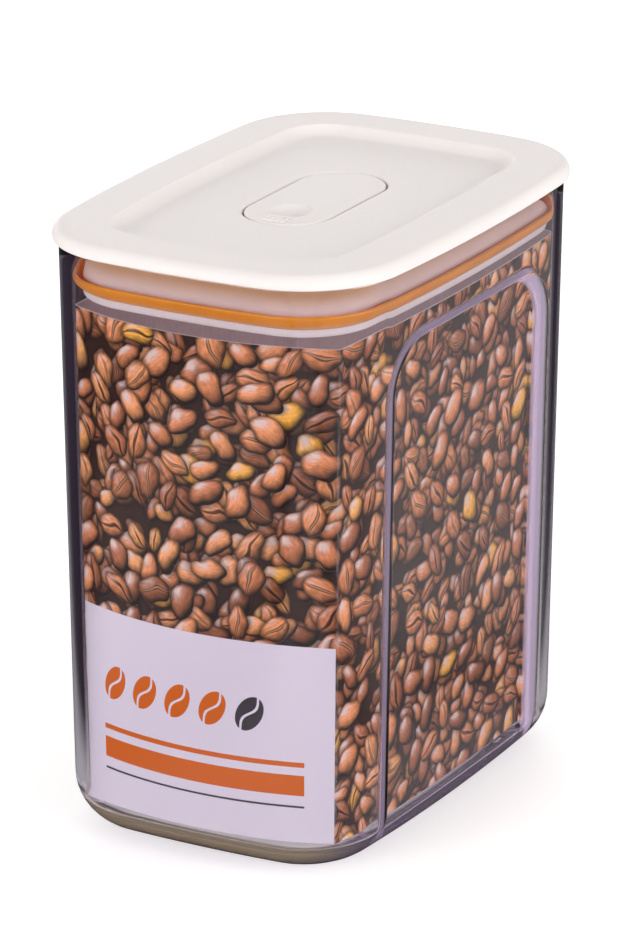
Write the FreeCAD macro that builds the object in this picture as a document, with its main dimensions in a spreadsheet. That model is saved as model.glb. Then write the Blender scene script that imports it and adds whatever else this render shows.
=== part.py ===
"""Food storage canister: a clear bowed body with grip recesses, a printed card
sleeve inside it, and a press-in lid with a silicone gasket and a rocking vent.

Frame: +Z up, front face towards -Y, grip recesses on +X and -X, origin under
the middle of the base. Millimetres.
"""
import FreeCAD, Part
import math
import os
import Sketcher

V = FreeCAD.Vector
UP = V(0, 0, 1)
# Points closer than this are one point, and a face whose normal rises less than this is a side
TOUCH = 1e-4
STEEP = 0.5

# Driving dimensions, one spreadsheet row each
SIZES = {
    # Plan of the clear body at its rim
    "body_width": 86.0,
    "body_depth": 125.0,
    "front_bow_radius": 300.0,
    "side_bow_radius": 560.0,
    "corner_radius": 23.0,
    # Height, walls and base of the clear body
    "rim_height": 141.6,
    "side_draft": 2.4,
    "wall_thickness": 2.6,
    "floor_thickness": 4.6,
    "base_radius": 12.5,
    "inner_base_radius": 4.0,
    "foot_recess": 0.9,
    "foot_width": 3.0,
    "rim_round": 0.7,
    # Grip recess in each side wall
    "grip_margin": 26.0,
    "grip_drop": 18.1,
    "grip_depth": 3.3,
    "grip_corner": 13.0,
    "grip_floor_round": 1.5,
    # Folded card sleeve
    "card_thickness": 0.45,
    "card_gap": 0.5,
    "card_front_gap": 1.8,
    "card_seat": 0.2,
    "card_fold_angle": 38.0,
    "card_drop": 15.1,
    # Lid cover
    "lid_overhang": 1.35,
    "brim_thickness": 3.4,
    "brim_round": 2.4,
    "brim_lower_round": 0.5,
    "panel_border": 12.7,
    "panel_depth": 2.0,
    "panel_cove": 5.0,
    "spigot_height": 2.0,
    "spigot_wall": 1.6,
    "weld_clearance": 0.15,
    # Lid plug and gasket
    "plug_depth": 12.6,
    "neck_gap": 2.9,
    "neck_wall": 3.8,
    "plug_floor": 1.8,
    "plug_round": 1.0,
    "flange_height": 2.0,
    "groove_height": 2.8,
    "groove_depth": 2.0,
    "gasket_fit": 0.1,
    "seal_clearance": 0.3,
    "lip_rise": 0.8,
    "lip_thickness": 1.0,
    "lip_swell": 0.7,
    # Rocking vent flap, its pocket and its plug
    "flap_length": 45.0,
    "flap_width": 21.0,
    "flap_gap": 0.5,
    "flap_height": 3.6,
    "flap_plate": 2.2,
    "flap_wall": 1.5,
    "flap_edge_round": 0.5,
    "collar_wall": 2.4,
    "pivot_offset": 4.0,
    "pivot_drop": 2.0,
    "pivot_radius": 1.2,
    "pivot_clearance": 0.05,
    "pivot_engagement": 1.2,
    "dimple_width": 10.5,
    "dimple_depth": 1.2,
    "dimple_offset": 11.5,
    "rocker_angle": 18.0,
    "stop_clearance": 0.25,
    "stop_width": 7.0,
    "stop_length": 2.0,
    "vent_offset": 9.0,
    "vent_bore": 5.0,
    "seat_width": 8.0,
    "seat_height": 4.0,
    "plug_stem": 3.2,
    "plug_stem_length": 1.6,
    "plug_head": 9.0,
    "plug_head_height": 1.2,
    "plug_body": 6.4,
    "plug_nose": 3.2,
    "plug_nose_length": 1.0,
    "boss_wall": 1.6,
    "boss_height": 2.2,
}

doc = FreeCAD.newDocument("Canister")
sheet = doc.addObject("Spreadsheet::Sheet", "Sizes")
for row, (alias, size) in enumerate(SIZES.items(), start=1):
    sheet.set(f"A{row}", alias)
    sheet.set(f"B{row}", str(size))
    sheet.setAlias(f"B{row}", alias)
doc.recompute()


def cell(alias):
    """A driving dimension as an expression."""
    return f"Sizes.{alias}"


def value(expression):
    """What an expression over the sheet comes to."""
    return float(sheet.evalExpression(expression))


# Levels above the base
RIM = cell("rim_height")
FLOOR = "(Sizes.foot_recess + Sizes.floor_thickness)"
LID_TOP = "(Sizes.rim_height + Sizes.brim_thickness)"
PANEL = "(Sizes.rim_height + Sizes.brim_thickness - Sizes.panel_depth)"
PLUG_BOTTOM = "(Sizes.rim_height - Sizes.plug_depth)"
PLUG_FLOOR = f"({PLUG_BOTTOM} + Sizes.plug_floor)"
GROOVE_LOW = f"({PLUG_BOTTOM} + Sizes.flange_height)"
GROOVE_HIGH = f"({GROOVE_LOW} + Sizes.groove_height)"
FLAP_UNDER = f"({PANEL} - Sizes.flap_height)"
PLATE_UNDER = f"({PANEL} - Sizes.flap_plate)"
PIVOT_LEVEL = f"({PANEL} - Sizes.pivot_drop)"
CARD_TOP = "(Sizes.rim_height - Sizes.card_drop)"
SEAT_TOP = f"({PLUG_FLOOR} + Sizes.seat_height)"
BOSS_UNDER = f"({PLATE_UNDER} - Sizes.boss_height)"

# Plan insets, measured inwards from the outer edge of the rim
NECK = "(Sizes.wall_thickness + Sizes.neck_gap)"
NECK_INSIDE = f"({NECK} + Sizes.neck_wall)"
GROOVE_FLOOR = f"({NECK} + Sizes.groove_depth)"
SPIGOT = f"({NECK_INSIDE} + Sizes.weld_clearance)"
PANEL_EDGE = "(Sizes.panel_border - Sizes.lid_overhang)"

# Centre of a corner arc, and the slope of the drafted walls
CORNER_X = ("(Sizes.body_width / 2 - Sizes.corner_radius"
            " - (Sizes.body_depth / 2 - Sizes.corner_radius)^2"
            " / (2 * (Sizes.side_bow_radius - Sizes.corner_radius)))")
CORNER_Y = ("(Sizes.body_depth / 2 - Sizes.corner_radius"
            " - (Sizes.body_width / 2 - Sizes.corner_radius)^2"
            " / (2 * (Sizes.front_bow_radius - Sizes.corner_radius)))")
SLOPE = "(Sizes.side_draft / Sizes.rim_height)"


def draft_at(level):
    """How far the outer wall has moved in at a level below the rim."""
    return f"({SLOPE} * (Sizes.rim_height - {level}))"


def new_body(name):
    body = doc.addObject("PartDesign::Body", name)
    body.Label = name
    return body


def plane(body, role):
    """One of the body's own origin planes."""
    return next(item for item in body.Origin.OriginFeatures if item.Role == role)


def new_sketch(body, name, role="XY_Plane", level=None):
    """An empty sketch on an origin plane, moved along its normal."""
    sketch = body.newObject("Sketcher::SketchObject", name)
    sketch.AttachmentSupport = (plane(body, role), [""])
    sketch.MapMode = "FlatFace"
    if level is not None:
        sketch.setExpression("AttachmentOffset.Base.z", level)
    return sketch


def bind(sketch, index, name, expression):
    """Name a dimension of a sketch and tie it to the sheet."""
    sketch.renameConstraint(index, name)
    sketch.setExpression(f"Constraints.{name}", expression)


def arc(centre, radius, start, end):
    """Counter-clockwise arc between two angles."""
    return Part.ArcOfCircle(Part.Circle(centre, UP, radius), start, end)


def add_outline(sketch, tag, inset):
    """Closed plan with four bowed sides and four tangent corner arcs."""
    shift = value(inset)
    half_x = value("Sizes.body_width / 2")
    half_y = value("Sizes.body_depth / 2")
    front = value(cell("front_bow_radius"))
    side = value(cell("side_bow_radius"))
    corner = value(cell("corner_radius"))
    back_centre = half_y - front
    right_centre = half_x - side
    reach_front = front - corner
    reach_side = side - corner
    span = math.hypot(right_centre, back_centre)
    along = (reach_side ** 2 - reach_front ** 2 + span ** 2) / (2 * span)
    across = math.sqrt(reach_side ** 2 - along ** 2)
    unit_x = -right_centre / span
    unit_y = back_centre / span
    corner_x = right_centre + along * unit_x - across * unit_y
    corner_y = along * unit_y + across * unit_x
    lean_front = math.asin(corner_x / reach_front)
    lean_side = math.asin(corner_y / reach_side)
    quarter = math.pi / 2
    first = len(sketch.Geometry)
    sketch.addGeometry([
        arc(V(0, -back_centre), front - shift, 3 * quarter - lean_front, 3 * quarter + lean_front),
        arc(V(corner_x, -corner_y), corner - shift, 3 * quarter + lean_front, 4 * quarter - lean_side),
        arc(V(right_centre, 0), side - shift, -lean_side, lean_side),
        arc(V(corner_x, corner_y), corner - shift, lean_side, quarter - lean_front),
        arc(V(0, back_centre), front - shift, quarter - lean_front, quarter + lean_front),
        arc(V(-corner_x, corner_y), corner - shift, quarter + lean_front, 2 * quarter - lean_side),
        arc(V(-right_centre, 0), side - shift, 2 * quarter - lean_side, 2 * quarter + lean_side),
        arc(V(-corner_x, -corner_y), corner - shift, 2 * quarter + lean_side, 3 * quarter - lean_front),
    ])
    front_arc, right_arc, back_arc, left_arc = (first + step for step in (0, 2, 4, 6))
    corners = [first + step for step in (1, 3, 5, 7)]
    for step in range(8):
        after = first + (step + 1) % 8
        sketch.addConstraint(Sketcher.Constraint("Tangent", first + step, 2, after, 1))
    for bowed, axis in ((front_arc, -2), (back_arc, -2), (right_arc, -1), (left_arc, -1)):
        sketch.addConstraint(Sketcher.Constraint("PointOnObject", bowed, 3, axis))
    sketch.addConstraint(Sketcher.Constraint("Equal", front_arc, back_arc))
    sketch.addConstraint(Sketcher.Constraint("Equal", right_arc, left_arc))
    for other in corners[1:]:
        sketch.addConstraint(Sketcher.Constraint("Equal", corners[0], other))
    for curve, name, radius in ((front_arc, "front", front), (right_arc, "side", side),
                                (corners[0], "corner", corner)):
        index = sketch.addConstraint(Sketcher.Constraint("Radius", curve, radius - shift))
        alias = "corner_radius" if name == "corner" else f"{name}_bow_radius"
        bind(sketch, index, f"{tag}_{name}_radius", f"Sizes.{alias} - {inset}")
    offsets = (("DistanceY", (-1, 1, front_arc, 3), "front", "front_bow_radius", "body_depth"),
               ("DistanceY", (back_arc, 3, -1, 1), "back", "front_bow_radius", "body_depth"),
               ("DistanceX", (right_arc, 3, -1, 1), "right", "side_bow_radius", "body_width"),
               ("DistanceX", (-1, 1, left_arc, 3), "left", "side_bow_radius", "body_width"))
    for kind, points, name, bow, width in offsets:
        distance = value(f"Sizes.{bow} - Sizes.{width} / 2")
        index = sketch.addConstraint(Sketcher.Constraint(kind, *points, distance))
        bind(sketch, index, f"{tag}_{name}_centre", f"Sizes.{bow} - Sizes.{width} / 2")


def plan_sketch(body, name, level, *insets):
    """Sketch of one outline, or of two outlines round a ring, at a level."""
    sketch = new_sketch(body, name, level=level)
    for number, inset in enumerate(insets):
        add_outline(sketch, f"plan{number}", inset)
    return sketch


def place_point(sketch, name, curve, point, x, y):
    """Hold a point of a curve at a place given by expressions."""
    for kind, place, label in (("DistanceX", x, "x"), ("DistanceY", y, "y")):
        index = sketch.addConstraint(Sketcher.Constraint(kind, -1, 1, curve, point, value(place)))
        bind(sketch, index, f"{name}_{label}", place)


def add_circle(sketch, name, radius, x="0", y="0"):
    """Circle at a place given by expressions."""
    centre = V(value(x), value(y))
    curve = sketch.addGeometry(Part.Circle(centre, UP, value(radius)))
    index = sketch.addConstraint(Sketcher.Constraint("Radius", curve, value(radius)))
    bind(sketch, index, f"{name}_radius", radius)
    place_point(sketch, name, curve, 3, x, y)


def add_slot(sketch, name, length, width):
    """Obround along Y, centred on the origin."""
    radius = value(f"({width}) / 2")
    reach = value(f"({length}) / 2") - radius
    first = len(sketch.Geometry)
    sketch.addGeometry([
        arc(V(0, reach), radius, 0, math.pi),
        Part.LineSegment(V(-radius, reach), V(-radius, -reach)),
        arc(V(0, -reach), radius, math.pi, 2 * math.pi),
        Part.LineSegment(V(radius, -reach), V(radius, reach)),
    ])
    back, left, front, right = range(first, first + 4)
    for one, other in ((back, left), (left, front), (front, right), (right, back)):
        sketch.addConstraint(Sketcher.Constraint("Tangent", one, 2, other, 1))
    for end in (back, front):
        sketch.addConstraint(Sketcher.Constraint("PointOnObject", end, 3, -2))
    index = sketch.addConstraint(Sketcher.Constraint("Radius", back, radius))
    bind(sketch, index, f"{name}_radius", f"({width}) / 2")
    for points, label in (((-1, 1, back, 3), "back"), ((front, 3, -1, 1), "front")):
        index = sketch.addConstraint(Sketcher.Constraint("DistanceY", *points, reach))
        bind(sketch, index, f"{name}_{label}", f"({length} - ({width})) / 2")


def add_profile(sketch, name, corners, swells):
    """Closed profile. A side with a swell is an arc through that point, the others are straight."""
    places = [V(value(x), value(y)) for x, y in corners]
    count = len(corners)
    for step in range(count):
        start, end = places[step], places[(step + 1) % count]
        if step in swells:
            x, y = swells[step]
            sketch.addGeometry(Part.Arc(start, V(value(x), value(y)), end))
        else:
            sketch.addGeometry(Part.LineSegment(start, end))
    # An arc runs counter-clockwise, so its ends may be the other way round
    heads = []
    for step in range(count):
        begins = sketch.getPoint(step, 1).distanceToPoint(places[step]) < TOUCH
        heads.append(1 if begins else 2)
    for step in range(count):
        after = (step + 1) % count
        tail = 3 - heads[step]
        sketch.addConstraint(Sketcher.Constraint("Coincident", step, tail, after, heads[after]))
    for step, (x, y) in enumerate(corners):
        place_point(sketch, f"{name}{step}", step, heads[step], x, y)
    for step, (x, y) in swells.items():
        through = sketch.addGeometry(Part.Point(V(value(x), value(y))), True)
        place_point(sketch, f"{name}_swell{step}", through, 1, x, y)
        sketch.addConstraint(Sketcher.Constraint("PointOnObject", through, 1, step))


def pad(body, name, sketch, length, downward=False, symmetric=False):
    feature = body.newObject("PartDesign::Pad", name)
    feature.Profile = sketch
    feature.Reversed = downward
    if symmetric:
        feature.SideType = "Symmetric"
    feature.setExpression("Length", length)
    doc.recompute()
    return feature


def pocket(body, name, sketch, length, along_normal=False, symmetric=False):
    """Cut against the sketch's normal, along it or both ways. It has to take material away."""
    before = body.Shape.Volume
    feature = body.newObject("PartDesign::Pocket", name)
    feature.Profile = sketch
    feature.Reversed = along_normal
    if symmetric:
        feature.SideType = "Symmetric"
    feature.setExpression("Length", length)
    doc.recompute()
    if body.Shape.Volume >= before:
        raise RuntimeError(f"{name} cuts nothing")
    return feature


def drafted(body, name, base, level):
    """Lean every upright side face of a pad inwards, below a level where it stays."""
    shape = base.Shape
    sides = [f"Face{number}" for number, face in enumerate(shape.Faces, start=1)
             if abs(face.normalAt(*face.Surface.parameter(face.CenterOfMass)).z) < STEEP]
    still = next(f"Face{number}" for number, face in enumerate(shape.Faces, start=1)
                 if near(face.BoundBox.ZMin, value(level)) and near(face.BoundBox.ZMax, value(level)))
    feature = body.newObject("PartDesign::Draft", name)
    feature.Base = (base, sides)
    feature.NeutralPlane = (base, [still])
    feature.Reversed = True
    feature.setExpression("Angle", f"atan({SLOPE})")
    doc.recompute()
    return feature


def loft(body, name, low, high, kind="PartDesign::AdditiveLoft"):
    feature = body.newObject(kind, name)
    feature.Profile = low
    feature.Sections = [high]
    feature.Ruled = True
    doc.recompute()
    return feature


def edges_where(shape, test):
    """Names of the edges whose middle and ends all pass a test."""
    names = []
    for number, edge in enumerate(shape.Edges, start=1):
        middle = edge.valueAt((edge.FirstParameter + edge.LastParameter) / 2)
        if test(middle) and all(test(vertex.Point) for vertex in edge.Vertexes):
            names.append(f"Edge{number}")
    return names


def near(number, target):
    return abs(number - target) < TOUCH


def edges_at_level(shape, level):
    return edges_where(shape, lambda point: near(point.z, value(level)))


def fillet(body, name, base, edges, radius):
    if not edges:
        raise RuntimeError(f"{name} finds no edge")
    feature = body.newObject("PartDesign::Fillet", name)
    feature.Base = (base, edges)
    feature.setExpression("Radius", radius)
    doc.recompute()
    return feature


def chamfer(body, name, base, edges, size):
    feature = body.newObject("PartDesign::Chamfer", name)
    feature.Base = (base, edges)
    feature.setExpression("Size", size)
    doc.recompute()
    return feature


def end_edges(shape, way):
    """Names of the edges round the face that lies furthest along a direction."""
    end = max(shape.Faces, key=lambda face: face.CenterOfMass.dot(way))
    return [f"Edge{number}" for number, edge in enumerate(shape.Edges, start=1)
            if any(edge.isSame(other) for other in end.Edges)]


def cut_by(body, name, tool):
    """Take another body's solid away from a body."""
    before = body.Shape.Volume
    feature = body.newObject("PartDesign::Boolean", name)
    feature.Type = "Cut"
    feature.setObjects([tool])
    doc.recompute()
    if body.Shape.Volume >= before:
        raise RuntimeError(f"{name} cuts nothing")
    return feature


# Clear body

# The two grip recesses are the same, half a turn apart
SIDES = (("right", 0), ("left", 180))


def grip_outline(sketch, half, top, bend, below):
    """Upright plate shape with two round upper corners. All sizes are expressions."""
    reach, height, radius, drop = (value(text) for text in (half, top, bend, below))
    quarter = math.pi / 2
    sketch.addGeometry([
        Part.LineSegment(V(-reach, -drop), V(reach, -drop)),
        Part.LineSegment(V(reach, -drop), V(reach, height - radius)),
        arc(V(reach - radius, height - radius), radius, 0, quarter),
        Part.LineSegment(V(reach - radius, height), V(radius - reach, height)),
        arc(V(radius - reach, height - radius), radius, quarter, 2 * quarter),
        Part.LineSegment(V(-reach, height - radius), V(-reach, -drop)),
    ])
    low, right, right_bend, across, left_bend, left = range(6)
    sketch.addConstraint(Sketcher.Constraint("Coincident", low, 2, right, 1))
    sketch.addConstraint(Sketcher.Constraint("Coincident", left, 2, low, 1))
    for one, other in ((right, right_bend), (right_bend, across), (across, left_bend), (left_bend, left)):
        sketch.addConstraint(Sketcher.Constraint("Tangent", one, 2, other, 1))
    for line in (low, across):
        sketch.addConstraint(Sketcher.Constraint("Horizontal", line))
    for line in (right, left):
        sketch.addConstraint(Sketcher.Constraint("Vertical", line))
    sketch.addConstraint(Sketcher.Constraint("Equal", right_bend, left_bend))
    dimensions = (("Radius", (right_bend,), "bend", bend),
                  ("DistanceX", (-1, 1, right, 1), "right", half),
                  ("DistanceX", (left, 2, -1, 1), "left", half),
                  ("DistanceY", (-1, 1, across, 1), "top", top),
                  ("DistanceY", (low, 1, -1, 1), "below", below))
    for kind, points, label, expression in dimensions:
        index = sketch.addConstraint(Sketcher.Constraint(kind, *points, value(expression)))
        bind(sketch, index, label, expression)


def build_grip_cutter(name, turn, behind):
    """Block that hollows one grip recess, or that steps the inside in, a distance behind it.

    It stands outside the drafted wall. Half a depth outside the wall its sides begin to
    close in at 45 degrees towards a flat inner end.
    """
    body = new_body(name)
    sketch = new_sketch(body, f"{name}_sketch", "YZ_Plane")
    sketch.AttachmentOffset = FreeCAD.Placement(V(), FreeCAD.Rotation(V(1, 0, 0), 1))
    sketch.setExpression("AttachmentOffset.Rotation.Angle", f"atan({SLOPE})")
    sketch.setExpression("AttachmentOffset.Base.z",
                         "Sizes.body_width / 2 - Sizes.side_draft + Sizes.grip_depth")
    grow = f"(Sizes.grip_depth / 2 + {behind} * sqrt(2))"
    grip_outline(sketch,
                 half=f"(Sizes.body_depth / 2 - Sizes.grip_margin + {grow})",
                 top=f"(Sizes.rim_height - Sizes.grip_drop + {grow})",
                 bend=f"(Sizes.grip_corner + {grow})",
                 below=cell("base_radius"))
    block = pad(body, f"{name}_block", sketch, f"2 * Sizes.grip_depth + {behind}", downward=True)
    inward = sketch.Placement.Rotation.multVec(-UP)
    splayed = chamfer(body, f"{name}_splay", block, end_edges(block.Shape, inward),
                      f"3 * Sizes.grip_depth / 2 + {behind}")
    fillet(body, f"{name}_round", splayed, end_edges(splayed.Shape, inward),
           f"Sizes.grip_floor_round + {behind}")
    body.Placement = FreeCAD.Placement(V(), FreeCAD.Rotation(UP, turn))
    return body


def build_core():
    """Hollow of the clear body, stepped in behind each grip recess."""
    steps = {tag: build_grip_cutter(f"step_cutter_{tag}", turn, cell("wall_thickness"))
             for tag, turn in SIDES}
    body = new_body("container_core")
    above = "(Sizes.rim_height + Sizes.wall_thickness)"
    plan = plan_sketch(body, "core_plan", above, f"(Sizes.wall_thickness + {draft_at(above)})")
    upright = pad(body, "core_pad", plan, f"{above} - {FLOOR}", downward=True)
    leaning = drafted(body, "core_draft", upright, above)
    fillet(body, "core_base_round", leaning, edges_at_level(body.Shape, FLOOR), cell("inner_base_radius"))
    for tag, step in steps.items():
        cut_by(body, f"core_step_{tag}", step)
    return body


def build_container():
    core = build_core()
    recesses = {tag: build_grip_cutter(f"grip_cutter_{tag}", turn, "0") for tag, turn in SIDES}
    body = new_body("container_body")
    plan = plan_sketch(body, "container_plan", RIM, "0")
    upright = pad(body, "container_pad", plan, RIM, downward=True)
    outside = drafted(body, "container_draft", upright, RIM)
    fillet(body, "base_round", outside, edges_at_level(body.Shape, "0"), cell("base_radius"))
    for tag, recess in recesses.items():
        cut_by(body, f"grip_recess_{tag}", recess)
    foot = plan_sketch(body, "foot_sketch", "0",
                       "(Sizes.side_draft + Sizes.base_radius + Sizes.foot_width)")
    pocket(body, "foot_recess", foot, cell("foot_recess"), along_normal=True)
    hollow = cut_by(body, "container_hollow", core)
    fillet(body, "rim_round", hollow, edges_at_level(body.Shape, RIM), cell("rim_round"))
    return body


# Card sleeve

def card_plan(body, name, level, inset):
    """Four bowed panels between sharp folds, following the drafted walls at a level."""
    drawn_in = f"({draft_at(level)} + Sizes.wall_thickness + {inset})"
    corner_reach = f"(Sizes.corner_radius - {drawn_in} - Sizes.card_gap)"
    fold_x = f"({CORNER_X} + {corner_reach} * cos(Sizes.card_fold_angle))"
    fold_y = f"({CORNER_Y} + {corner_reach} * sin(Sizes.card_fold_angle))"
    front = f"(Sizes.body_depth / 2 - {drawn_in} - Sizes.card_front_gap)"
    side = f"(Sizes.body_width / 2 - {drawn_in} - Sizes.grip_depth - Sizes.card_gap)"
    sketch = new_sketch(body, name, level=level)
    folds = [(f"-{fold_x}", f"-{fold_y}"), (fold_x, f"-{fold_y}"), (fold_x, fold_y), (f"-{fold_x}", fold_y)]
    panels = {0: ("0", f"-{front}"), 1: (side, "0"), 2: ("0", front), 3: (f"-{side}", "0")}
    add_profile(sketch, "fold", folds, panels)
    return sketch


def build_card():
    body = new_body("insert_card")
    # The lower edge stands just clear of the cove between floor and wall
    foothold = "(Sizes.card_gap - Sizes.card_seat)"
    low = (f"({FLOOR} + Sizes.inner_base_radius"
           f" - sqrt(2 * Sizes.inner_base_radius * {foothold} - {foothold}^2))")
    outer = [card_plan(body, "card_outer_low", low, "0"),
             card_plan(body, "card_outer_high", CARD_TOP, "0")]
    inner = [card_plan(body, "card_inner_low", low, cell("card_thickness")),
             card_plan(body, "card_inner_high", CARD_TOP, cell("card_thickness"))]
    loft(body, "card_outside", *outer)
    loft(body, "card_inside", *inner, kind="PartDesign::SubtractiveLoft")
    return body


# Lid cover

def build_panel_cutter():
    """Shallow tray with a coved edge, taken out of the lid's top."""
    body = new_body("panel_cutter")
    cove = "Sizes.panel_cove"
    run_out = f"({cove} - sqrt({cove}^2 - ({cove} - Sizes.panel_depth)^2))"
    plan = plan_sketch(body, "cutter_plan", PANEL, f"({PANEL_EDGE} - {run_out})")
    tray = pad(body, "cutter_pad", plan, f"{cove} + Sizes.panel_depth")
    fillet(body, "cutter_cove", tray, edges_at_level(body.Shape, PANEL), cove)
    return body


def slot_sketch(body, name, level, grow):
    """Outline of the flap, grown all round, at a level."""
    sketch = new_sketch(body, name, level=level)
    add_slot(sketch, "slot", f"(Sizes.flap_length + 2 * {grow})", f"(Sizes.flap_width + 2 * {grow})")
    return sketch


def pivot_sketch(body, name, radius):
    """Round section of the rocker's pivot, seen along X."""
    sketch = new_sketch(body, name, "YZ_Plane")
    add_circle(sketch, "pivot", radius, "-Sizes.pivot_offset", PIVOT_LEVEL)
    return sketch


def build_lid_cover():
    cutter = build_panel_cutter()
    body = new_body("lid_cover")
    plan = plan_sketch(body, "brim_plan", RIM, "(-Sizes.lid_overhang)")
    brim = pad(body, "brim_pad", plan, cell("brim_thickness"))
    soft = fillet(body, "brim_top_round", brim, edges_at_level(body.Shape, LID_TOP), cell("brim_round"))
    fillet(body, "brim_under_round", soft, edges_at_level(body.Shape, RIM), cell("brim_lower_round"))
    spigot = plan_sketch(body, "spigot_plan", RIM, SPIGOT, f"({SPIGOT} + Sizes.spigot_wall)")
    pad(body, "spigot_pad", spigot, cell("spigot_height"), downward=True)
    collar = slot_sketch(body, "collar_slot", RIM, "(Sizes.flap_gap + Sizes.collar_wall)")
    pad(body, "collar_pad", collar, f"Sizes.rim_height - {PLUG_FLOOR}", downward=True)
    cut_by(body, "panel_recess", cutter)
    opening = slot_sketch(body, "opening_slot", PANEL, "Sizes.flap_gap")
    pocket_cut = pocket(body, "flap_opening", opening, f"{PANEL} - {PLUG_FLOOR}")
    half_x = value("Sizes.flap_width / 2 + 2 * Sizes.flap_gap")
    half_y = value("Sizes.flap_length / 2 + 2 * Sizes.flap_gap")
    lip = edges_where(body.Shape, lambda point: near(point.z, value(PANEL))
                      and abs(point.x) < half_x and abs(point.y) < half_y)
    fillet(body, "opening_round", pocket_cut, lip, cell("flap_edge_round"))
    bore = pivot_sketch(body, "pivot_bore_circle", "Sizes.pivot_radius + Sizes.pivot_clearance")
    reach = "Sizes.flap_width + 2 * (Sizes.flap_gap + Sizes.pivot_engagement + Sizes.stop_clearance)"
    pocket(body, "pivot_bores", bore, reach, symmetric=True)
    return body


# Lid plug and gasket

def build_lid_plug():
    body = new_body("lid_plug")
    plan = plan_sketch(body, "plug_plan", PLUG_BOTTOM, NECK)
    block = pad(body, "plug_pad", plan, cell("plug_depth"))
    fillet(body, "plug_lower_round", block, edges_at_level(body.Shape, PLUG_BOTTOM), cell("plug_round"))
    inside = plan_sketch(body, "plug_inside", RIM, NECK_INSIDE)
    pocket(body, "plug_hollow", inside, "Sizes.plug_depth - Sizes.plug_floor")
    ring = plan_sketch(body, "groove_plan", GROOVE_HIGH, "Sizes.wall_thickness", GROOVE_FLOOR)
    pocket(body, "gasket_groove", ring, cell("groove_height"))
    seat = new_sketch(body, "seat_circle", level=PLUG_FLOOR)
    add_circle(seat, "seat", "Sizes.seat_width / 2", y=cell("vent_offset"))
    pad(body, "vent_seat", seat, cell("seat_height"))
    bore = new_sketch(body, "bore_circle", level=SEAT_TOP)
    add_circle(bore, "bore", "Sizes.vent_bore / 2", y=cell("vent_offset"))
    pocket(body, "vent_bore", bore, "Sizes.seat_height + Sizes.plug_floor")
    # The pressed end of the flap comes down on this rib
    arm = "(Sizes.flap_length / 2 - Sizes.pivot_offset)"
    drop = "(Sizes.flap_height - Sizes.pivot_drop)"
    turned = "Sizes.rocker_angle"
    landing_y = f"(-Sizes.pivot_offset - {arm} * cos({turned}) + {drop} * sin({turned}))"
    landing_z = f"({PIVOT_LEVEL} - {arm} * sin({turned}) - {drop} * cos({turned}))"
    half = "(Sizes.stop_width / 2)"
    near_y = f"({landing_y} - Sizes.stop_length / 2)"
    far_y = f"({landing_y} + Sizes.stop_length / 2)"
    rib = new_sketch(body, "stop_outline", level=PLUG_FLOOR)
    add_profile(rib, "stop", [(f"-{half}", near_y), (half, near_y), (half, far_y), (f"-{half}", far_y)], {})
    pad(body, "rocker_stop", rib, f"{landing_z} - Sizes.stop_clearance - {PLUG_FLOOR}")
    return body


def build_gasket():
    """Ring with a root in the groove and a flared lip against the body's wall."""
    body = new_body("gasket")
    low = f"({GROOVE_LOW} + Sizes.gasket_fit)"
    high = f"({GROOVE_HIGH} - Sizes.gasket_fit)"
    crest = f"({GROOVE_HIGH} + Sizes.lip_rise)"
    half = "Sizes.body_width / 2"
    root = f"({half} - {GROOVE_FLOOR} + Sizes.gasket_fit)"
    neck = f"({half} - {NECK} + Sizes.gasket_fit)"
    rim = f"({half} - Sizes.wall_thickness - Sizes.seal_clearance - {draft_at(GROOVE_LOW)})"
    valley = f"({low} + Sizes.lip_thickness)"
    corners = [(root, low), (neck, low), (rim, f"({crest} - Sizes.lip_thickness / 2)"),
               (f"({rim} - Sizes.lip_thickness)", f"({crest} - Sizes.lip_thickness / 2)"),
               (neck, valley), (neck, high), (root, high)]
    swells = {1: (f"(({neck} + {rim}) / 2 + Sizes.lip_swell)", f"(({low} + {crest}) / 2 - Sizes.lip_swell)"),
              2: (f"({rim} - Sizes.lip_thickness / 2)", crest)}
    path = plan_sketch(body, "gasket_path", GROOVE_LOW, NECK)
    profile = new_sketch(body, "gasket_profile", "XZ_Plane")
    add_profile(profile, "lip", corners, swells)
    ring = body.newObject("PartDesign::AdditivePipe", "gasket_ring")
    ring.Profile = profile
    ring.Spine = path
    doc.recompute()
    return body


# Vent flap and its plug

def build_vent_flap():
    body = new_body("vent_flap")
    outline = slot_sketch(body, "flap_slot", PANEL, "0")
    plate = pad(body, "flap_pad", outline, cell("flap_height"), downward=True)
    fillet(body, "flap_top_round", plate, edges_at_level(body.Shape, PANEL), cell("flap_edge_round"))
    under = slot_sketch(body, "flap_under_slot", FLAP_UNDER, "(-Sizes.flap_wall)")
    pocket(body, "flap_hollow", under, "Sizes.flap_height - Sizes.flap_plate", along_normal=True)
    pin = pivot_sketch(body, "pivot_circle", "Sizes.pivot_radius")
    pad(body, "pivot_pin", pin, "Sizes.flap_width + 2 * (Sizes.flap_gap + Sizes.pivot_engagement)",
        symmetric=True)
    boss = new_sketch(body, "boss_circle", level=PLATE_UNDER)
    add_circle(boss, "boss", "Sizes.plug_stem / 2 + Sizes.boss_wall", y=cell("vent_offset"))
    pad(body, "plug_boss", boss, cell("boss_height"), downward=True)
    socket = new_sketch(body, "socket_circle", level=BOSS_UNDER)
    add_circle(socket, "socket", "Sizes.plug_stem / 2 + Sizes.pivot_clearance", y=cell("vent_offset"))
    pocket(body, "plug_socket", socket, "Sizes.plug_stem_length + Sizes.pivot_clearance", along_normal=True)
    build_dimple(body)
    return body


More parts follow.
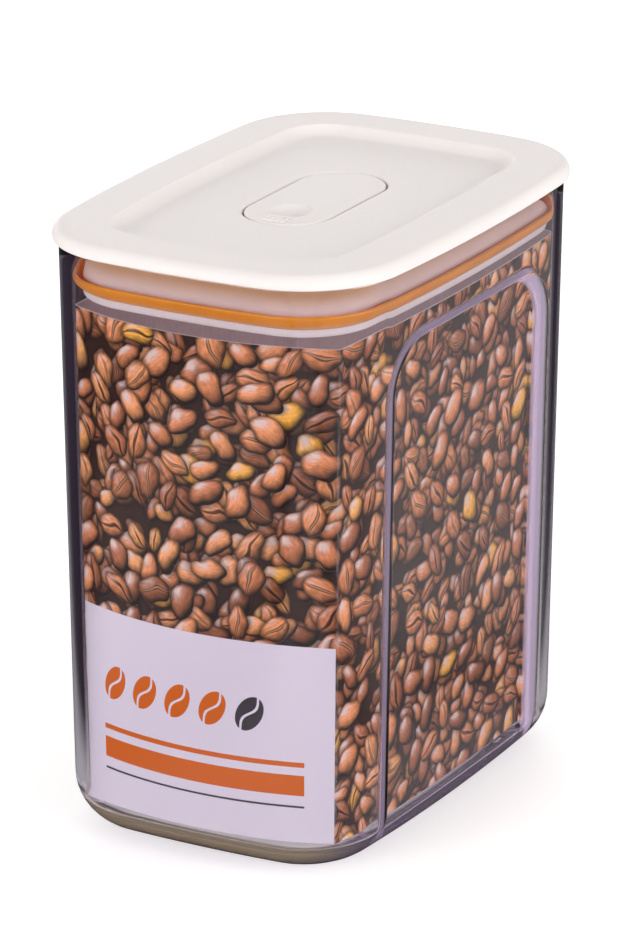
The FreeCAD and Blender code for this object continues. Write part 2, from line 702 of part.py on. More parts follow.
def build_dimple(body):
    """Round dish for a fingertip, turned out of the flap's top."""
    chord = "(Sizes.dimple_width / 2)"
    radius = f"(({chord}^2 + Sizes.dimple_depth^2) / (2 * Sizes.dimple_depth))"
    bottom = f"({PANEL} - Sizes.dimple_depth)"
    half_way = f"({chord} / 2)"
    sag = f"({bottom} + {radius} - sqrt({radius}^2 - {half_way}^2))"
    sketch = new_sketch(body, "dimple_profile", "XZ_Plane", level=cell("dimple_offset"))
    corners = [("0", bottom), (chord, PANEL), ("0", PANEL)]
    add_profile(sketch, "dish", corners, {0: (half_way, sag)})
    before = body.Shape.Volume
    dish = body.newObject("PartDesign::Groove", "finger_dimple")
    dish.Profile = sketch
    dish.ReferenceAxis = (sketch, ["V_Axis"])
    dish.Angle = 360
    doc.recompute()
    if body.Shape.Volume >= before:
        raise RuntimeError("finger_dimple cuts nothing")


def build_vent_plug():
    """Soft stopper that the flap presses onto the vent's seat."""
    body = new_body("vent_plug")
    stem, head, shank, nose = (f"(Sizes.{name} / 2)" for name in
                               ("plug_stem", "plug_head", "plug_body", "plug_nose"))
    top = f"({BOSS_UNDER} + Sizes.plug_stem_length)"
    shoulder = f"({SEAT_TOP} + Sizes.plug_head_height)"
    tip = f"({SEAT_TOP} - Sizes.plug_nose_length)"
    corners = [("0", tip), (nose, tip), (nose, SEAT_TOP), (head, SEAT_TOP), (shank, shoulder),
               (shank, BOSS_UNDER), (stem, BOSS_UNDER), (stem, top), ("0", top)]
    sketch = new_sketch(body, "plug_profile", "XZ_Plane", level="-Sizes.vent_offset")
    add_profile(sketch, "turned", corners, {})
    turned = body.newObject("PartDesign::Revolution", "plug_turned")
    turned.Profile = sketch
    turned.ReferenceAxis = (sketch, ["V_Axis"])
    turned.Angle = 360
    doc.recompute()
    return body


sub_parts = [
    build_container(),
    build_card(),
    build_lid_cover(),
    build_lid_plug(),
    build_gasket(),
    build_vent_flap(),
    build_vent_plug(),
]
doc.recompute()

failed = [item.Name for item in doc.Objects if {"Invalid", "Error"} & set(item.State)]
if failed:
    raise RuntimeError(f"failed features: {failed}")
for sub_part in sub_parts:
    if sub_part.Shape.isNull() or not sub_part.Shape.isValid() or len(sub_part.Shape.Solids) != 1:
        raise RuntimeError(f"{sub_part.Label} isn't one valid solid")

os.makedirs("parts", exist_ok=True)
for sub_part in sub_parts:
    sub_part.Shape.exportStep(f"parts/{sub_part.Label}.step")
    print(f"{sub_part.Label}: {sub_part.Shape.Volume / 1000:.2f} cm3")
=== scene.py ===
"""Dresses the storage canister: clear body, printed sleeve, lid, seal and vent flap.

Lengths are in metres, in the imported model's own frame: +Z up, the front towards
-Y, the grip recesses on +X and -X.
"""

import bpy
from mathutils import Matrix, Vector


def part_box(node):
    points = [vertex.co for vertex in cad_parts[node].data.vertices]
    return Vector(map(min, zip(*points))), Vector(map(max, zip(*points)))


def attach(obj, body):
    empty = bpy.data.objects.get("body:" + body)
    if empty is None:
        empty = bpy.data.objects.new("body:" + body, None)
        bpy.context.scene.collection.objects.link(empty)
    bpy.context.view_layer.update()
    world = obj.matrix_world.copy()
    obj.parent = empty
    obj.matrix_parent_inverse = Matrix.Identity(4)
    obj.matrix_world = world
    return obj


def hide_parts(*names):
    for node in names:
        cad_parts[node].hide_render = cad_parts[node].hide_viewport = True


bl_info = {
    "name": "Storage canister looks",
    "version": (1, 0, 0),
    "blender": (4, 5, 0),
    "location": "View3D > Sidebar > Canister",
    "description": "Builds the visible pieces of a storage canister round its packed frame",
    "category": "Object",
}

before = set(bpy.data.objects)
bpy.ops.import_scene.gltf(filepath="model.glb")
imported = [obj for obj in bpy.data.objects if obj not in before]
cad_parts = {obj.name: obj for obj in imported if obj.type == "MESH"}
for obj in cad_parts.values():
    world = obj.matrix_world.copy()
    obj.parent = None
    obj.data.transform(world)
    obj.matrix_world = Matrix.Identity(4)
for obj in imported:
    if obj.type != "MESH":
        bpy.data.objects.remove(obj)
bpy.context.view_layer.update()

import math

import bpy
from bpy.props import FloatProperty, FloatVectorProperty, IntProperty, PointerProperty
from mathutils import Vector

MM = 0.001
BODY_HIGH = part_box("container_body")[1]
CARD_LOW, CARD_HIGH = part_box("insert_card")
PLUG_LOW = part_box("lid_plug")[0]
FLAP_LOW, FLAP_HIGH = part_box("vent_flap")
# Spacing of the body's points where a grip recess has its soft edge
FINE = 0.45 * MM
# The side walls among the eight arcs of the plan
SIDE_ARCS = (2, 6)
# Places of the points that bend a fold of the card
BEND_SHARES = (0.25, 0.5, 0.75)
WHITE = (1.0, 1.0, 1.0, 1.0)


def length(name, description, default):
    """A length in metres that shows in the sidebar."""
    return FloatProperty(name=name, description=description, default=default, unit="LENGTH", precision=5)


def colour(name, description, default):
    """A linear colour that shows in the sidebar."""
    return FloatVectorProperty(name=name, description=description, default=default, subtype="COLOR",
                               size=3, min=0.0, max=1.0)


class CanisterBodySizes(bpy.types.PropertyGroup):
    """Sizes of the clear body."""
    width: length("Width", "Width at the rim", 2 * BODY_HIGH.x)
    depth: length("Depth", "Front to back at the rim", 2 * BODY_HIGH.y)
    height: length("Height", "Level of the rim", BODY_HIGH.z)
    front_bow: length("Front bow", "Radius of the front and back in plan", 300 * MM)
    side_bow: length("Side bow", "Radius of the side walls in plan", 560 * MM)
    corner: length("Corner", "Radius of the corners in plan", 23 * MM)
    draft: length("Draft", "How far the walls lean in towards the base", 2.4 * MM)
    wall: length("Wall", "Thickness of the walls", 2.6 * MM)
    floor: length("Floor", "Thickness of the floor", 4.6 * MM)
    base_round: length("Base round", "Outer radius between wall and base", 12.5 * MM)
    inner_round: length("Inner round", "Radius between wall and floor inside", 4.0 * MM)
    foot_recess: length("Foot recess", "How far the base is hollowed", 0.9 * MM)
    foot_width: length("Foot width", "Width of the ring that it stands on", 3.0 * MM)
    rim_round: length("Rim round", "Radius of the rim's edges", 0.7 * MM)
    grip_margin: length("Grip margin", "From a recess to the front and back", 26.0 * MM)
    grip_drop: length("Grip drop", "From the rim down to a recess", 18.1 * MM)
    grip_depth: length("Grip depth", "Depth of a recess", 3.3 * MM)
    grip_corner: length("Grip corner", "Radius of a recess's upper corners", 13.0 * MM)
    grip_step: length("Grip step", "Width of the soft step round a recess", 3.0 * MM)
    grip_lip: length("Grip lip", "How far the soft step begins outside a recess", 1.2 * MM)
    # Painted light: how far the rounded foot turns milky in its painted tone
    foot_painted_light: FloatProperty(name="Foot satin", description="How matt the rounded foot is", default=0.50,
                              min=0.0, max=1.0, subtype="FACTOR")


class CanisterCardSizes(bpy.types.PropertyGroup):
    """Sizes of the printed sleeve."""
    thickness: length("Thickness", "Thickness of the card", 0.45 * MM)
    gap: length("Gap", "Room between a fold or a side panel and the wall", 0.5 * MM)
    front_gap: length("Front gap", "Room between the front panel and the wall", 1.8 * MM)
    fold_angle: FloatProperty(name="Fold angle", description="Where a fold meets the round corner",
                              default=math.radians(38.0), subtype="ANGLE")
    fold_round: length("Fold round", "Length of card that bends at a fold", 0.7 * MM)
    label_height: length("Label height", "Level of the white label's upper edge", 55.5 * MM)
    bean_length: length("Bean length", "Length of a printed bean", 9.4 * MM)


class CanisterLidSizes(bpy.types.PropertyGroup):
    """Sizes of the seal and of the ridges on the vent flap."""
    seal_room: length("Seal room", "Room between the seal's lip and the wall", 0.3 * MM)
    neck_gap: length("Neck gap", "Room between the lid's neck and the wall", 2.9 * MM)
    groove_depth: length("Groove depth", "Depth of the seal's groove", 2.0 * MM)
    groove_low: length("Groove foot", "From the plug's underside up to the groove", 2.0 * MM)
    groove_height: length("Groove height", "Height of the groove", 2.8 * MM)
    lip_rise: length("Lip rise", "How far the lip stands above the groove", 0.8 * MM)
    lip: length("Lip", "Thickness of the lip", 1.0 * MM)
    ridge_count: IntProperty(name="Ridges", description="Raised bars on the flap", default=3, min=1)
    ridge_length: length("Ridge length", "Length of a raised bar", 7.0 * MM)
    ridge_width: length("Ridge width", "Width of a raised bar", 0.9 * MM)
    ridge_height: length("Ridge height", "Height of a raised bar", 0.35 * MM)
    ridge_pitch: length("Ridge pitch", "From one bar to the next", 1.7 * MM)
    ridge_offset: length("Ridge offset", "From the front of the flap to the middle bar", 3.9 * MM)


class CanisterFinish(bpy.types.PropertyGroup):
    """Colours of the canister."""
    lid: colour("Lid", "Matt plastic of the lid", (0.90, 0.845, 0.825))
    plug: colour("Plug", "Plastic of the lid's lower flange", (0.93, 0.84, 0.79))
    # Painted light: the seal's orange bounce and the shade under the lid, painted into the upper neck
    neck: colour("Neck", "Upper neck, warmed by the seal below it", (0.68, 0.40, 0.20))
    seal: colour("Seal", "Silicone of the seal", (1.0, 0.34, 0.0))
    stopper: colour("Stopper", "Silicone of the vent's stopper", (0.80, 0.78, 0.75))
    # Painted shade: white board, coloured as it looks in the shade inside the sleeve
    board: colour("Board", "Bare side of the card", (0.56, 0.44, 0.46))
    edge: colour("Cut edge", "Cut edge of the card", (0.80, 0.76, 0.76))
    label: colour("Label", "Ground of the label", (0.955, 0.915, 0.98))
    accent: colour("Accent", "Bright colour on the label", (0.83, 0.17, 0.012))
    ink: colour("Ink", "Dark colour on the label", (0.06, 0.055, 0.06))
    tint: colour("Tint", "What the clear plastic lets through", (0.80, 0.765, 0.815))
    # Painted highlight: the lavender band along the recess steps, painted into the plastic's colour
    painted_light: colour("Satin", "Satin steps round the grip recesses", (0.75, 0.60, 0.83))
    # Painted light: the warm tone that the foot shows from the front and back, painted into its colour
    foot: colour("Foot", "Warm cast of the rounded foot, front and back", (0.90, 0.69, 0.47))


class CanisterStage(bpy.types.PropertyGroup):
    """Camera and floor."""
    azimuth: FloatProperty(name="Azimuth", description="Camera's turn round the object",
                           default=math.radians(28.99), subtype="ANGLE")
    elevation: FloatProperty(name="Elevation", description="Camera's height above the horizon",
                             default=math.radians(19.25), subtype="ANGLE")
    distance: length("Distance", "From the camera to the aim", 1.380)
    aim_height: length("Aim height", "Level that the camera aims at", 77.93 * MM)
    aim_side: length("Aim side", "How far the aim is to the right", -1.153 * MM)
    lens: FloatProperty(name="Lens", description="Focal length in millimetres", default=228.86,
                        unit="CAMERA")
    floor: length("Floor", "Width of the floor", 6.0)
    screen: colour("Screens", "What the clear plastic picks up from the sides", (0.030, 0.014, 0.036))


class CanisterLooks(bpy.types.PropertyGroup):
    """All that a user may change."""
    body: PointerProperty(type=CanisterBodySizes)
    card: PointerProperty(type=CanisterCardSizes)
    lid: PointerProperty(type=CanisterLidSizes)
    finish: PointerProperty(type=CanisterFinish)
    stage: PointerProperty(type=CanisterStage)


# Plan of the canister

def plan_arcs(body):
    """Centre, radius and angles of the eight tangent arcs of the rim, from the front round to the right."""
    back_centre = body.depth / 2 - body.front_bow
    right_centre = body.width / 2 - body.side_bow
    reach_front = body.front_bow - body.corner
    reach_side = body.side_bow - body.corner
    span = math.hypot(right_centre, back_centre)
    along = (reach_side ** 2 - reach_front ** 2 + span ** 2) / (2 * span)
    across = math.sqrt(reach_side ** 2 - along ** 2)
    unit_x = -right_centre / span
    unit_y = back_centre / span
    corner_x = right_centre + along * unit_x - across * unit_y
    corner_y = along * unit_y + across * unit_x
    lean_front = math.asin(corner_x / reach_front)
    lean_side = math.asin(corner_y / reach_side)
    quarter = math.pi / 2
    return [
        ((0, -back_centre), body.front_bow, 3 * quarter - lean_front, 3 * quarter + lean_front),
        ((corner_x, -corner_y), body.corner, 3 * quarter + lean_front, 4 * quarter - lean_side),
        ((right_centre, 0), body.side_bow, -lean_side, lean_side),
        ((corner_x, corner_y), body.corner, lean_side, quarter - lean_front),
        ((0, back_centre), body.front_bow, quarter - lean_front, quarter + lean_front),
        ((-corner_x, corner_y), body.corner, quarter + lean_front, 2 * quarter - lean_side),
        ((-right_centre, 0), body.side_bow, 2 * quarter - lean_side, 2 * quarter + lean_side),
        ((-corner_x, -corner_y), body.corner, 2 * quarter + lean_side, 3 * quarter - lean_front),
    ]


def even_stations(arcs, bow_steps, corner_steps):
    """Arc number and angle of evenly spread points round the plan."""
    stations = []
    for number, (centre, radius, start, end) in enumerate(arcs):
        steps = corner_steps if number % 2 else bow_steps
        stations += [(number, start + (end - start) * step / steps) for step in range(steps)]
    return stations


def plan_ring(arcs, stations, inset):
    """Points of the plan, moved in by an inset, in the plane."""
    points = []
    for number, angle in stations:
        (x, y), radius, start, end = arcs[number]
        points.append((x + (radius - inset) * math.cos(angle), y + (radius - inset) * math.sin(angle)))
    return points


def draft_at(body, level):
    """How far the outer wall has moved in at a level."""
    return body.draft * (body.height - level) / body.height


def smooth_step(amount):
    amount = min(max(amount, 0.0), 1.0)
    return amount * amount * (3 - 2 * amount)


def steps_between(start, end, count):
    """Evenly spaced numbers from start up to, but not including, end."""
    return [start + (end - start) * step / count for step in range(count)]


def quarter_arc(count, first=0):
    """Sine and cosine of evenly spread angles over a quarter turn."""
    angles = [math.pi / 2 * step / count for step in range(first, count + 1)]
    return [(math.sin(angle), math.cos(angle)) for angle in angles]


def curve_point(start, pull, end, share):
    """A point of the curve from start to end that is drawn towards a third point."""
    return tuple((1 - share) ** 2 * a + 2 * share * (1 - share) * b + share ** 2 * c
                 for a, b, c in zip(start, pull, end))


# Meshes

def mesh_object(name, points, faces, smooth=True):
    mesh = bpy.data.meshes.new(name)
    mesh.from_pydata(points, [], faces)
    mesh.validate()
    if smooth:
        mesh.shade_smooth()
    piece = bpy.data.objects.new(name, mesh)
    bpy.context.scene.collection.objects.link(piece)
    return piece


def ring_faces(first, second, count):
    """Quads between two rings of points, given where each begins."""
    return [(first + step, first + (step + 1) % count, second + (step + 1) % count, second + step)
            for step in range(count)]


def finish_piece(piece, body, slot, *nodes):
    """Attach a finished piece to its body and hide the nodes that it stands for; the slot is not used."""
    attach(piece, body)
    if nodes:
        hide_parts(*nodes)


# Node graphs

class Graph:
    """Short hand for wiring nodes."""

    def __init__(self, tree):
        self.tree = tree

    def add(self, kind, settings=None, **inputs):
        """A node with its settings and inputs. An input is a socket or a value."""
        node = self.tree.nodes.new(kind)
        for key, value in (settings or {}).items():
            setattr(node, key, value)
        for key, value in inputs.items():
            self.feed(node.inputs[key.replace("_", " ")], value)
        return node

    def feed(self, socket, value):
        if isinstance(value, bpy.types.NodeSocket):
            self.tree.links.new(value, socket)
        else:
            socket.default_value = value

    def math(self, operation, *values, clamp=False):
        node = self.tree.nodes.new("ShaderNodeMath")
        node.operation = operation
        node.use_clamp = clamp
        for socket, value in zip(node.inputs, values):
            self.feed(socket, value)
        return node.outputs[0]

    def vector(self, operation, *values):
        node = self.tree.nodes.new("ShaderNodeVectorMath")
        node.operation = operation
        for socket, value in zip(node.inputs, values):
            self.feed(socket, value)
        return node.outputs["Value" if operation in ("LENGTH", "DOT_PRODUCT") else "Vector"]

    def mix(self, factor, first, second, blend="MIX"):
        """Colour between two others. A Mix node has its colours on inputs 6 and 7."""
        node = self.tree.nodes.new("ShaderNodeMix")
        node.data_type = "RGBA"
        node.blend_type = blend
        self.feed(node.inputs[0], factor)
        self.feed(node.inputs[6], first)
        self.feed(node.inputs[7], second)
        return node.outputs[2]

    def blend(self, factor, first, second):
        """Number between two others. A Mix node has its numbers on inputs 2 and 3."""
        node = self.tree.nodes.new("ShaderNodeMix")
        self.feed(node.inputs[0], factor)
        self.feed(node.inputs[2], first)
        self.feed(node.inputs[3], second)
        return node.outputs[0]

    def ease(self, value, low, high, bottom=0.0, top=1.0):
        """Smooth change from bottom to top while a value goes from low to high."""
        node = self.tree.nodes.new("ShaderNodeMapRange")
        node.interpolation_type = "SMOOTHSTEP"
        for socket, number in zip(node.inputs, (value, low, high, bottom, top)):
            self.feed(socket, number)
        return node.outputs[0]

    def ramp(self, factor, stops):
        node = self.tree.nodes.new("ShaderNodeValToRGB")
        ramp = node.color_ramp
        while len(ramp.elements) < len(stops):
            ramp.elements.new(0.5)
        for element, (place, tone) in zip(ramp.elements, stops):
            element.position = place
            element.color = (*tone, 1.0)
        self.feed(node.inputs[0], factor)
        return node.outputs[0]

    def noise(self, vector, scale, detail=3.0, roughness=0.5, flat=False):
        node = self.tree.nodes.new("ShaderNodeTexNoise")
        node.noise_dimensions = "2D" if flat else "3D"
        self.feed(node.inputs["Vector"], vector)
        node.inputs["Scale"].default_value = scale
        node.inputs["Detail"].default_value = detail
        node.inputs["Roughness"].default_value = roughness
        return node

    def bump(self, height, strength, distance):
        node = self.tree.nodes.new("ShaderNodeBump")
        node.inputs["Strength"].default_value = strength
        node.inputs["Distance"].default_value = distance
        self.feed(node.inputs["Height"], height)
        return node.outputs[0]


def rgba(tone):
    return (*tone, 1.0)


def new_material(name):
    """A node material with its graph and its surface shader."""
    material = bpy.data.materials.new(name)
    material.use_nodes = True
    graph = Graph(material.node_tree)
    surface = next(node for node in material.node_tree.nodes if node.type == "BSDF_PRINCIPLED")
    return material, graph, surface


def output_of(material):
    return next(node for node in material.node_tree.nodes if node.type == "OUTPUT_MATERIAL")


def new_group(name, inputs, outputs):
    """An empty node group and its two ends. Sockets are (name, type) pairs."""
    tree = bpy.data.node_groups.new(name, "ShaderNodeTree")
    for label, kind in inputs:
        tree.interface.new_socket(label, in_out="INPUT", socket_type=f"NodeSocket{kind}")
    for label, kind in outputs:
        tree.interface.new_socket(label, in_out="OUTPUT", socket_type=f"NodeSocket{kind}")
    start = tree.nodes.new("NodeGroupInput")
    end = tree.nodes.new("NodeGroupOutput")
    return tree, Graph(tree), start.outputs, end.inputs


def object_coordinates(graph):
    return graph.add("ShaderNodeTexCoord").outputs["Object"]


# Finishes

def clear_plastic(finish):
    """Thick clear moulding with a faint mauve cast, which lets lamps through to what is inside."""
    material, graph, surface = new_material("clear_plastic")
    surface.inputs["IOR"].default_value = 1.5
    # Painted light: where this share is high the plastic turns partly diffuse in a painted tone, a painted
    # highlight on the recess steps and painted light on the rounded foot
    painted_light = graph.add("ShaderNodeAttribute", {"attribute_name": "painted_light"}).outputs["Fac"]
    cast = graph.add("ShaderNodeAttribute", {"attribute_name": "cast"}).outputs["Color"]
    graph.feed(surface.inputs["Base Color"], cast)
    painted_light_weight = 0.60
    graph.feed(surface.inputs["Transmission Weight"], graph.math("MULTIPLY_ADD", painted_light, -painted_light_weight, 1.0))
    place = object_coordinates(graph)
    smears = graph.noise(place, 60.0, 4.0, 0.6).outputs[0]
    rough = graph.ease(smears, 0.35, 0.75, 0.0, 0.035)
    graph.feed(surface.inputs["Roughness"], rough)
    path = graph.add("ShaderNodeLightPath")
    through = graph.math("MAXIMUM", path.outputs["Is Shadow Ray"], path.outputs["Is Diffuse Ray"])
    let_through = (0.93, 0.91, 0.94, 1.0)
    passing = graph.add("ShaderNodeBsdfTransparent", Color=let_through)
    joined = graph.add("ShaderNodeMixShader")
    graph.feed(joined.inputs[0], through)
    graph.feed(joined.inputs[1], surface.outputs[0])
    graph.feed(joined.inputs[2], passing.outputs[0])
    end = output_of(material)
    graph.feed(end.inputs["Surface"], joined.outputs[0])
    absorb = graph.add("ShaderNodeVolumeAbsorption")
    absorb.inputs["Color"].default_value = rgba(finish.tint)
    absorb.inputs["Density"].default_value = 190.0
    graph.feed(end.inputs["Volume"], absorb.outputs[0])
    return material


def lid_plastic(finish):
    """Matt white plastic with a fine spark-eroded grain."""
    material, graph, surface = new_material("lid_plastic")
    place = object_coordinates(graph)
    cloud = graph.noise(place, 35.0, 3.0).outputs[0]
    tone = graph.mix(graph.ease(cloud, 0.3, 0.7), rgba([c * 0.985 for c in finish.lid]), rgba(finish.lid))
    graph.feed(surface.inputs["Base Color"], tone)
    grain = graph.noise(place, 2600.0, 2.0).outputs[0]
    graph.feed(surface.inputs["Roughness"], graph.ease(cloud, 0.3, 0.7, 0.46, 0.54))
    surface.inputs["Specular IOR Level"].default_value = 0.2
    graph.feed(surface.inputs["Normal"], graph.bump(grain, 0.12, 0.00012))
    surface.inputs["Subsurface Weight"].default_value = 0.08
    surface.inputs["Subsurface Radius"].default_value = (0.003, 0.002, 0.0015)
    surface.inputs["Subsurface Scale"].default_value = 1.0
    return material


def plug_plastic(finish):
    """Smoother white plastic of the lid's neck, a little translucent, with the seal's orange bounce light
    and the shade under the lid painted high on the neck.
    """
    material, graph, surface = new_material("plug_plastic")
    place = object_coordinates(graph)
    cloud = graph.noise(place, 48.0, 3.0).outputs[0]
    level = graph.add("ShaderNodeSeparateXYZ", Vector=place).outputs[2]
    tall = BODY_HIGH.z - PLUG_LOW.z
    # Painted light: the upper neck takes a darker orange tone for the seal's bounce light and the shade
    # under the lid
    bounce_from, bounce_to = 0.40, 0.78
    high = graph.ease(level, PLUG_LOW.z + bounce_from * tall, PLUG_LOW.z + bounce_to * tall)
    tone = graph.mix(high, rgba(finish.plug), rgba(finish.neck))
    tone = graph.mix(graph.ease(cloud, 0.3, 0.7, 0.0, 0.03), tone, (0.0, 0.0, 0.0, 1.0))
    graph.feed(surface.inputs["Base Color"], tone)
    graph.feed(surface.inputs["Roughness"], graph.ease(cloud, 0.3, 0.7, 0.28, 0.36))
    grain = graph.noise(place, 1500.0, 2.0).outputs[0]
    graph.feed(surface.inputs["Normal"], graph.bump(grain, 0.06, 0.0001))
    surface.inputs["Subsurface Weight"].default_value = 0.2
    surface.inputs["Subsurface Radius"].default_value = (0.004, 0.0025, 0.0018)
    surface.inputs["Subsurface Scale"].default_value = 1.0
    return material


def silicone(name, tone, depth):
    """Rubbery finish with a soft bloom and fine dust."""
    material, graph, surface = new_material(name)
    place = object_coordinates(graph)
    cloud = graph.noise(place, 90.0, 3.0).outputs[0]
    shade = graph.mix(graph.ease(cloud, 0.3, 0.7), rgba([c * 0.9 for c in tone]), rgba(tone))
    graph.feed(surface.inputs["Base Color"], shade)
    graph.feed(surface.inputs["Roughness"], graph.ease(cloud, 0.25, 0.75, 0.32, 0.45))
    grain = graph.noise(place, 1800.0, 2.0).outputs[0]
    graph.feed(surface.inputs["Normal"], graph.bump(grain, 0.08, 0.0001))
    surface.inputs["Subsurface Weight"].default_value = 0.25
    surface.inputs["Subsurface Radius"].default_value = depth
    surface.inputs["Subsurface Scale"].default_value = 1.0
    surface.inputs["Sheen Weight"].default_value = 0.15
    return material


def card_board(name, tone):
    """Uncoated board with short fibres."""
    material, graph, surface = new_material(name)
    place = object_coordinates(graph)
    fibre = graph.noise(graph.vector("MULTIPLY", place, (900.0, 900.0, 260.0)), 1.0, 4.0, 0.65).outputs[0]
    shade = graph.mix(graph.ease(fibre, 0.3, 0.7), rgba([c * 0.88 for c in tone]), rgba(tone))
    graph.feed(surface.inputs["Base Color"], shade)
    surface.inputs["Roughness"].default_value = 0.8
    graph.feed(surface.inputs["Normal"], graph.bump(fibre, 0.15, 0.0001))
    return material


# Bean print

def bean_group():
    """One printed bean: its colour, how far it covers and the shadow round it."""
    tree, g, start, end = new_group(
        "bean", [("Point", "Vector"), ("Centre", "Vector"), ("Random", "Color"), ("Reach", "Float")],
        [("Colour", "Color"), ("Cover", "Float"), ("Shadow", "Float"), ("Rank", "Float")])
    chance = g.add("ShaderNodeSeparateColor", Color=start["Random"])
    turn = g.math("MULTIPLY", chance.outputs[0], 2 * math.pi)
    apart = g.vector("SUBTRACT", start["Point"], start["Centre"])
    spin = {"rotation_type": "Z_AXIS"}
    own = g.add("ShaderNodeVectorRotate", spin, Vector=apart, Angle=turn).outputs[0]
    light_across, light_down = (-0.40, 0.52, 0.0), 0.74
    lamp = g.add("ShaderNodeVectorRotate", spin, Vector=light_across, Angle=turn).outputs[0]
    # Two more random numbers for each bean
    second = g.math("FRACT", g.math("MULTIPLY", chance.outputs[1], 7.31))
    third = g.math("FRACT", g.math("MULTIPLY", chance.outputs[2], 5.17))
    half_length = g.math("MULTIPLY", start["Reach"], g.blend(chance.outputs[1], 0.80, 1.12))
    half_width = g.math("MULTIPLY", half_length, g.blend(second, 0.56, 0.74))
    part = g.add("ShaderNodeSeparateXYZ", Vector=own)
    x = g.math("DIVIDE", part.outputs[0], half_length)
    y = g.math("DIVIDE", part.outputs[1], half_width)
    square = g.math("ADD", g.math("MULTIPLY", x, x), g.math("MULTIPLY", y, y))
    edge = g.math("SQRT", square)
    dome = g.math("SQRT", g.math("MAXIMUM", g.math("SUBTRACT", 1.0, square), 0.0))
    ray = g.add("ShaderNodeSeparateXYZ", Vector=lamp)
    lit = g.math("ADD", g.math("MULTIPLY", x, ray.outputs[0]), g.math("MULTIPLY", y, ray.outputs[1]))
    lit = g.math("ADD", lit, g.math("MULTIPLY", dome, light_down))
    # Half the beans lie flat side up and show their crease
    creased = g.math("GREATER_THAN", third, 0.50)
    wave = g.math("SINE", g.math("ADD", g.math("MULTIPLY", x, 2.5), g.math("MULTIPLY", second, 6.0)))
    off_line = g.math("ABSOLUTE", g.math("ADD", y, g.math("MULTIPLY", wave, 0.17)))
    cut_width = g.math("MULTIPLY", g.math("SUBTRACT", 1.0, g.math("MULTIPLY", x, x)), 0.15)
    cut = g.ease(g.math("SUBTRACT", off_line, cut_width), -0.06, 0.05, 1.0, 0.0)
    lip = g.math("SUBTRACT", g.ease(off_line, 0.16, 0.42, 1.0, 0.0), cut, clamp=True)
    cut = g.math("MULTIPLY", cut, creased)
    round_tone = g.ease(lit, -0.10, 1.0, 0.04, 1.45)
    flat_tone = g.ease(lit, -0.25, 1.05, 0.16, 1.25)
    tone = g.blend(creased, round_tone, g.math("ADD", flat_tone, g.math("MULTIPLY", lip, 0.22)))
    edge_tone, cut_tone = 0.26, 0.12
    tone = g.math("MULTIPLY", tone, g.ease(edge, 0.66, 1.0, 1.0, edge_tone))
    tone = g.math("MULTIPLY", tone, g.blend(cut, 1.0, cut_tone))
    skin = g.noise(g.vector("MULTIPLY", own, (5.0, 14.0, 1.0)), 1.0, 3.0, flat=True).outputs[0]
    tone = g.math("MULTIPLY", tone, g.ease(skin, 0.25, 0.75, 0.78, 1.18))
    how_dark = g.math("FRACT", g.math("ADD", g.math("MULTIPLY", chance.outputs[1], 3.7), third))
    roast = g.ramp(how_dark, [
        (0.00, (0.345, 0.117, 0.047)), (0.30, (0.600, 0.213, 0.083)), (0.62, (0.810, 0.308, 0.116)),
        (0.88, (0.920, 0.395, 0.150)), (0.965, (0.950, 0.460, 0.130)), (1.00, (1.000, 0.500, 0.060))])
    grey = g.add("ShaderNodeCombineColor", Red=tone, Green=tone, Blue=tone).outputs[0]
    shade = g.mix(1.0, roast, grey, "MULTIPLY")
    # Pale chaff is left in the crease of about half the creased beans
    chaff = g.ease(g.math("SUBTRACT", off_line, g.math("MULTIPLY", cut_width, 0.45)), -0.03, 0.02, 1.0, 0.0)
    chaff = g.math("MULTIPLY", chaff, g.math("MULTIPLY", cut, g.math("GREATER_THAN", second, 0.5)))
    chaff_tone = (0.62, 0.36, 0.19, 1.0)
    shade = g.mix(g.math("MULTIPLY", chaff, 0.8), shade, chaff_tone)
    glint = g.math("POWER", g.math("MAXIMUM", lit, 0.0), 13.0)
    glint = g.math("MULTIPLY", glint, g.blend(creased, 1.70, 0.60))
    glint = g.math("MULTIPLY", glint, g.ease(skin, 0.2, 0.7, 0.5, 1.0))
    glint_tone = (1.0, 0.80, 0.68, 1.0)
    shade = g.mix(glint, shade, glint_tone)
    g.feed(end["Colour"], shade)
    g.feed(end["Cover"], g.ease(edge, 0.955, 1.02, 1.0, 0.0))
    g.feed(end["Shadow"], g.ease(edge, 0.85, 1.42, 1.0, 0.0))
    g.feed(end["Rank"], chance.outputs[1])
    return tree


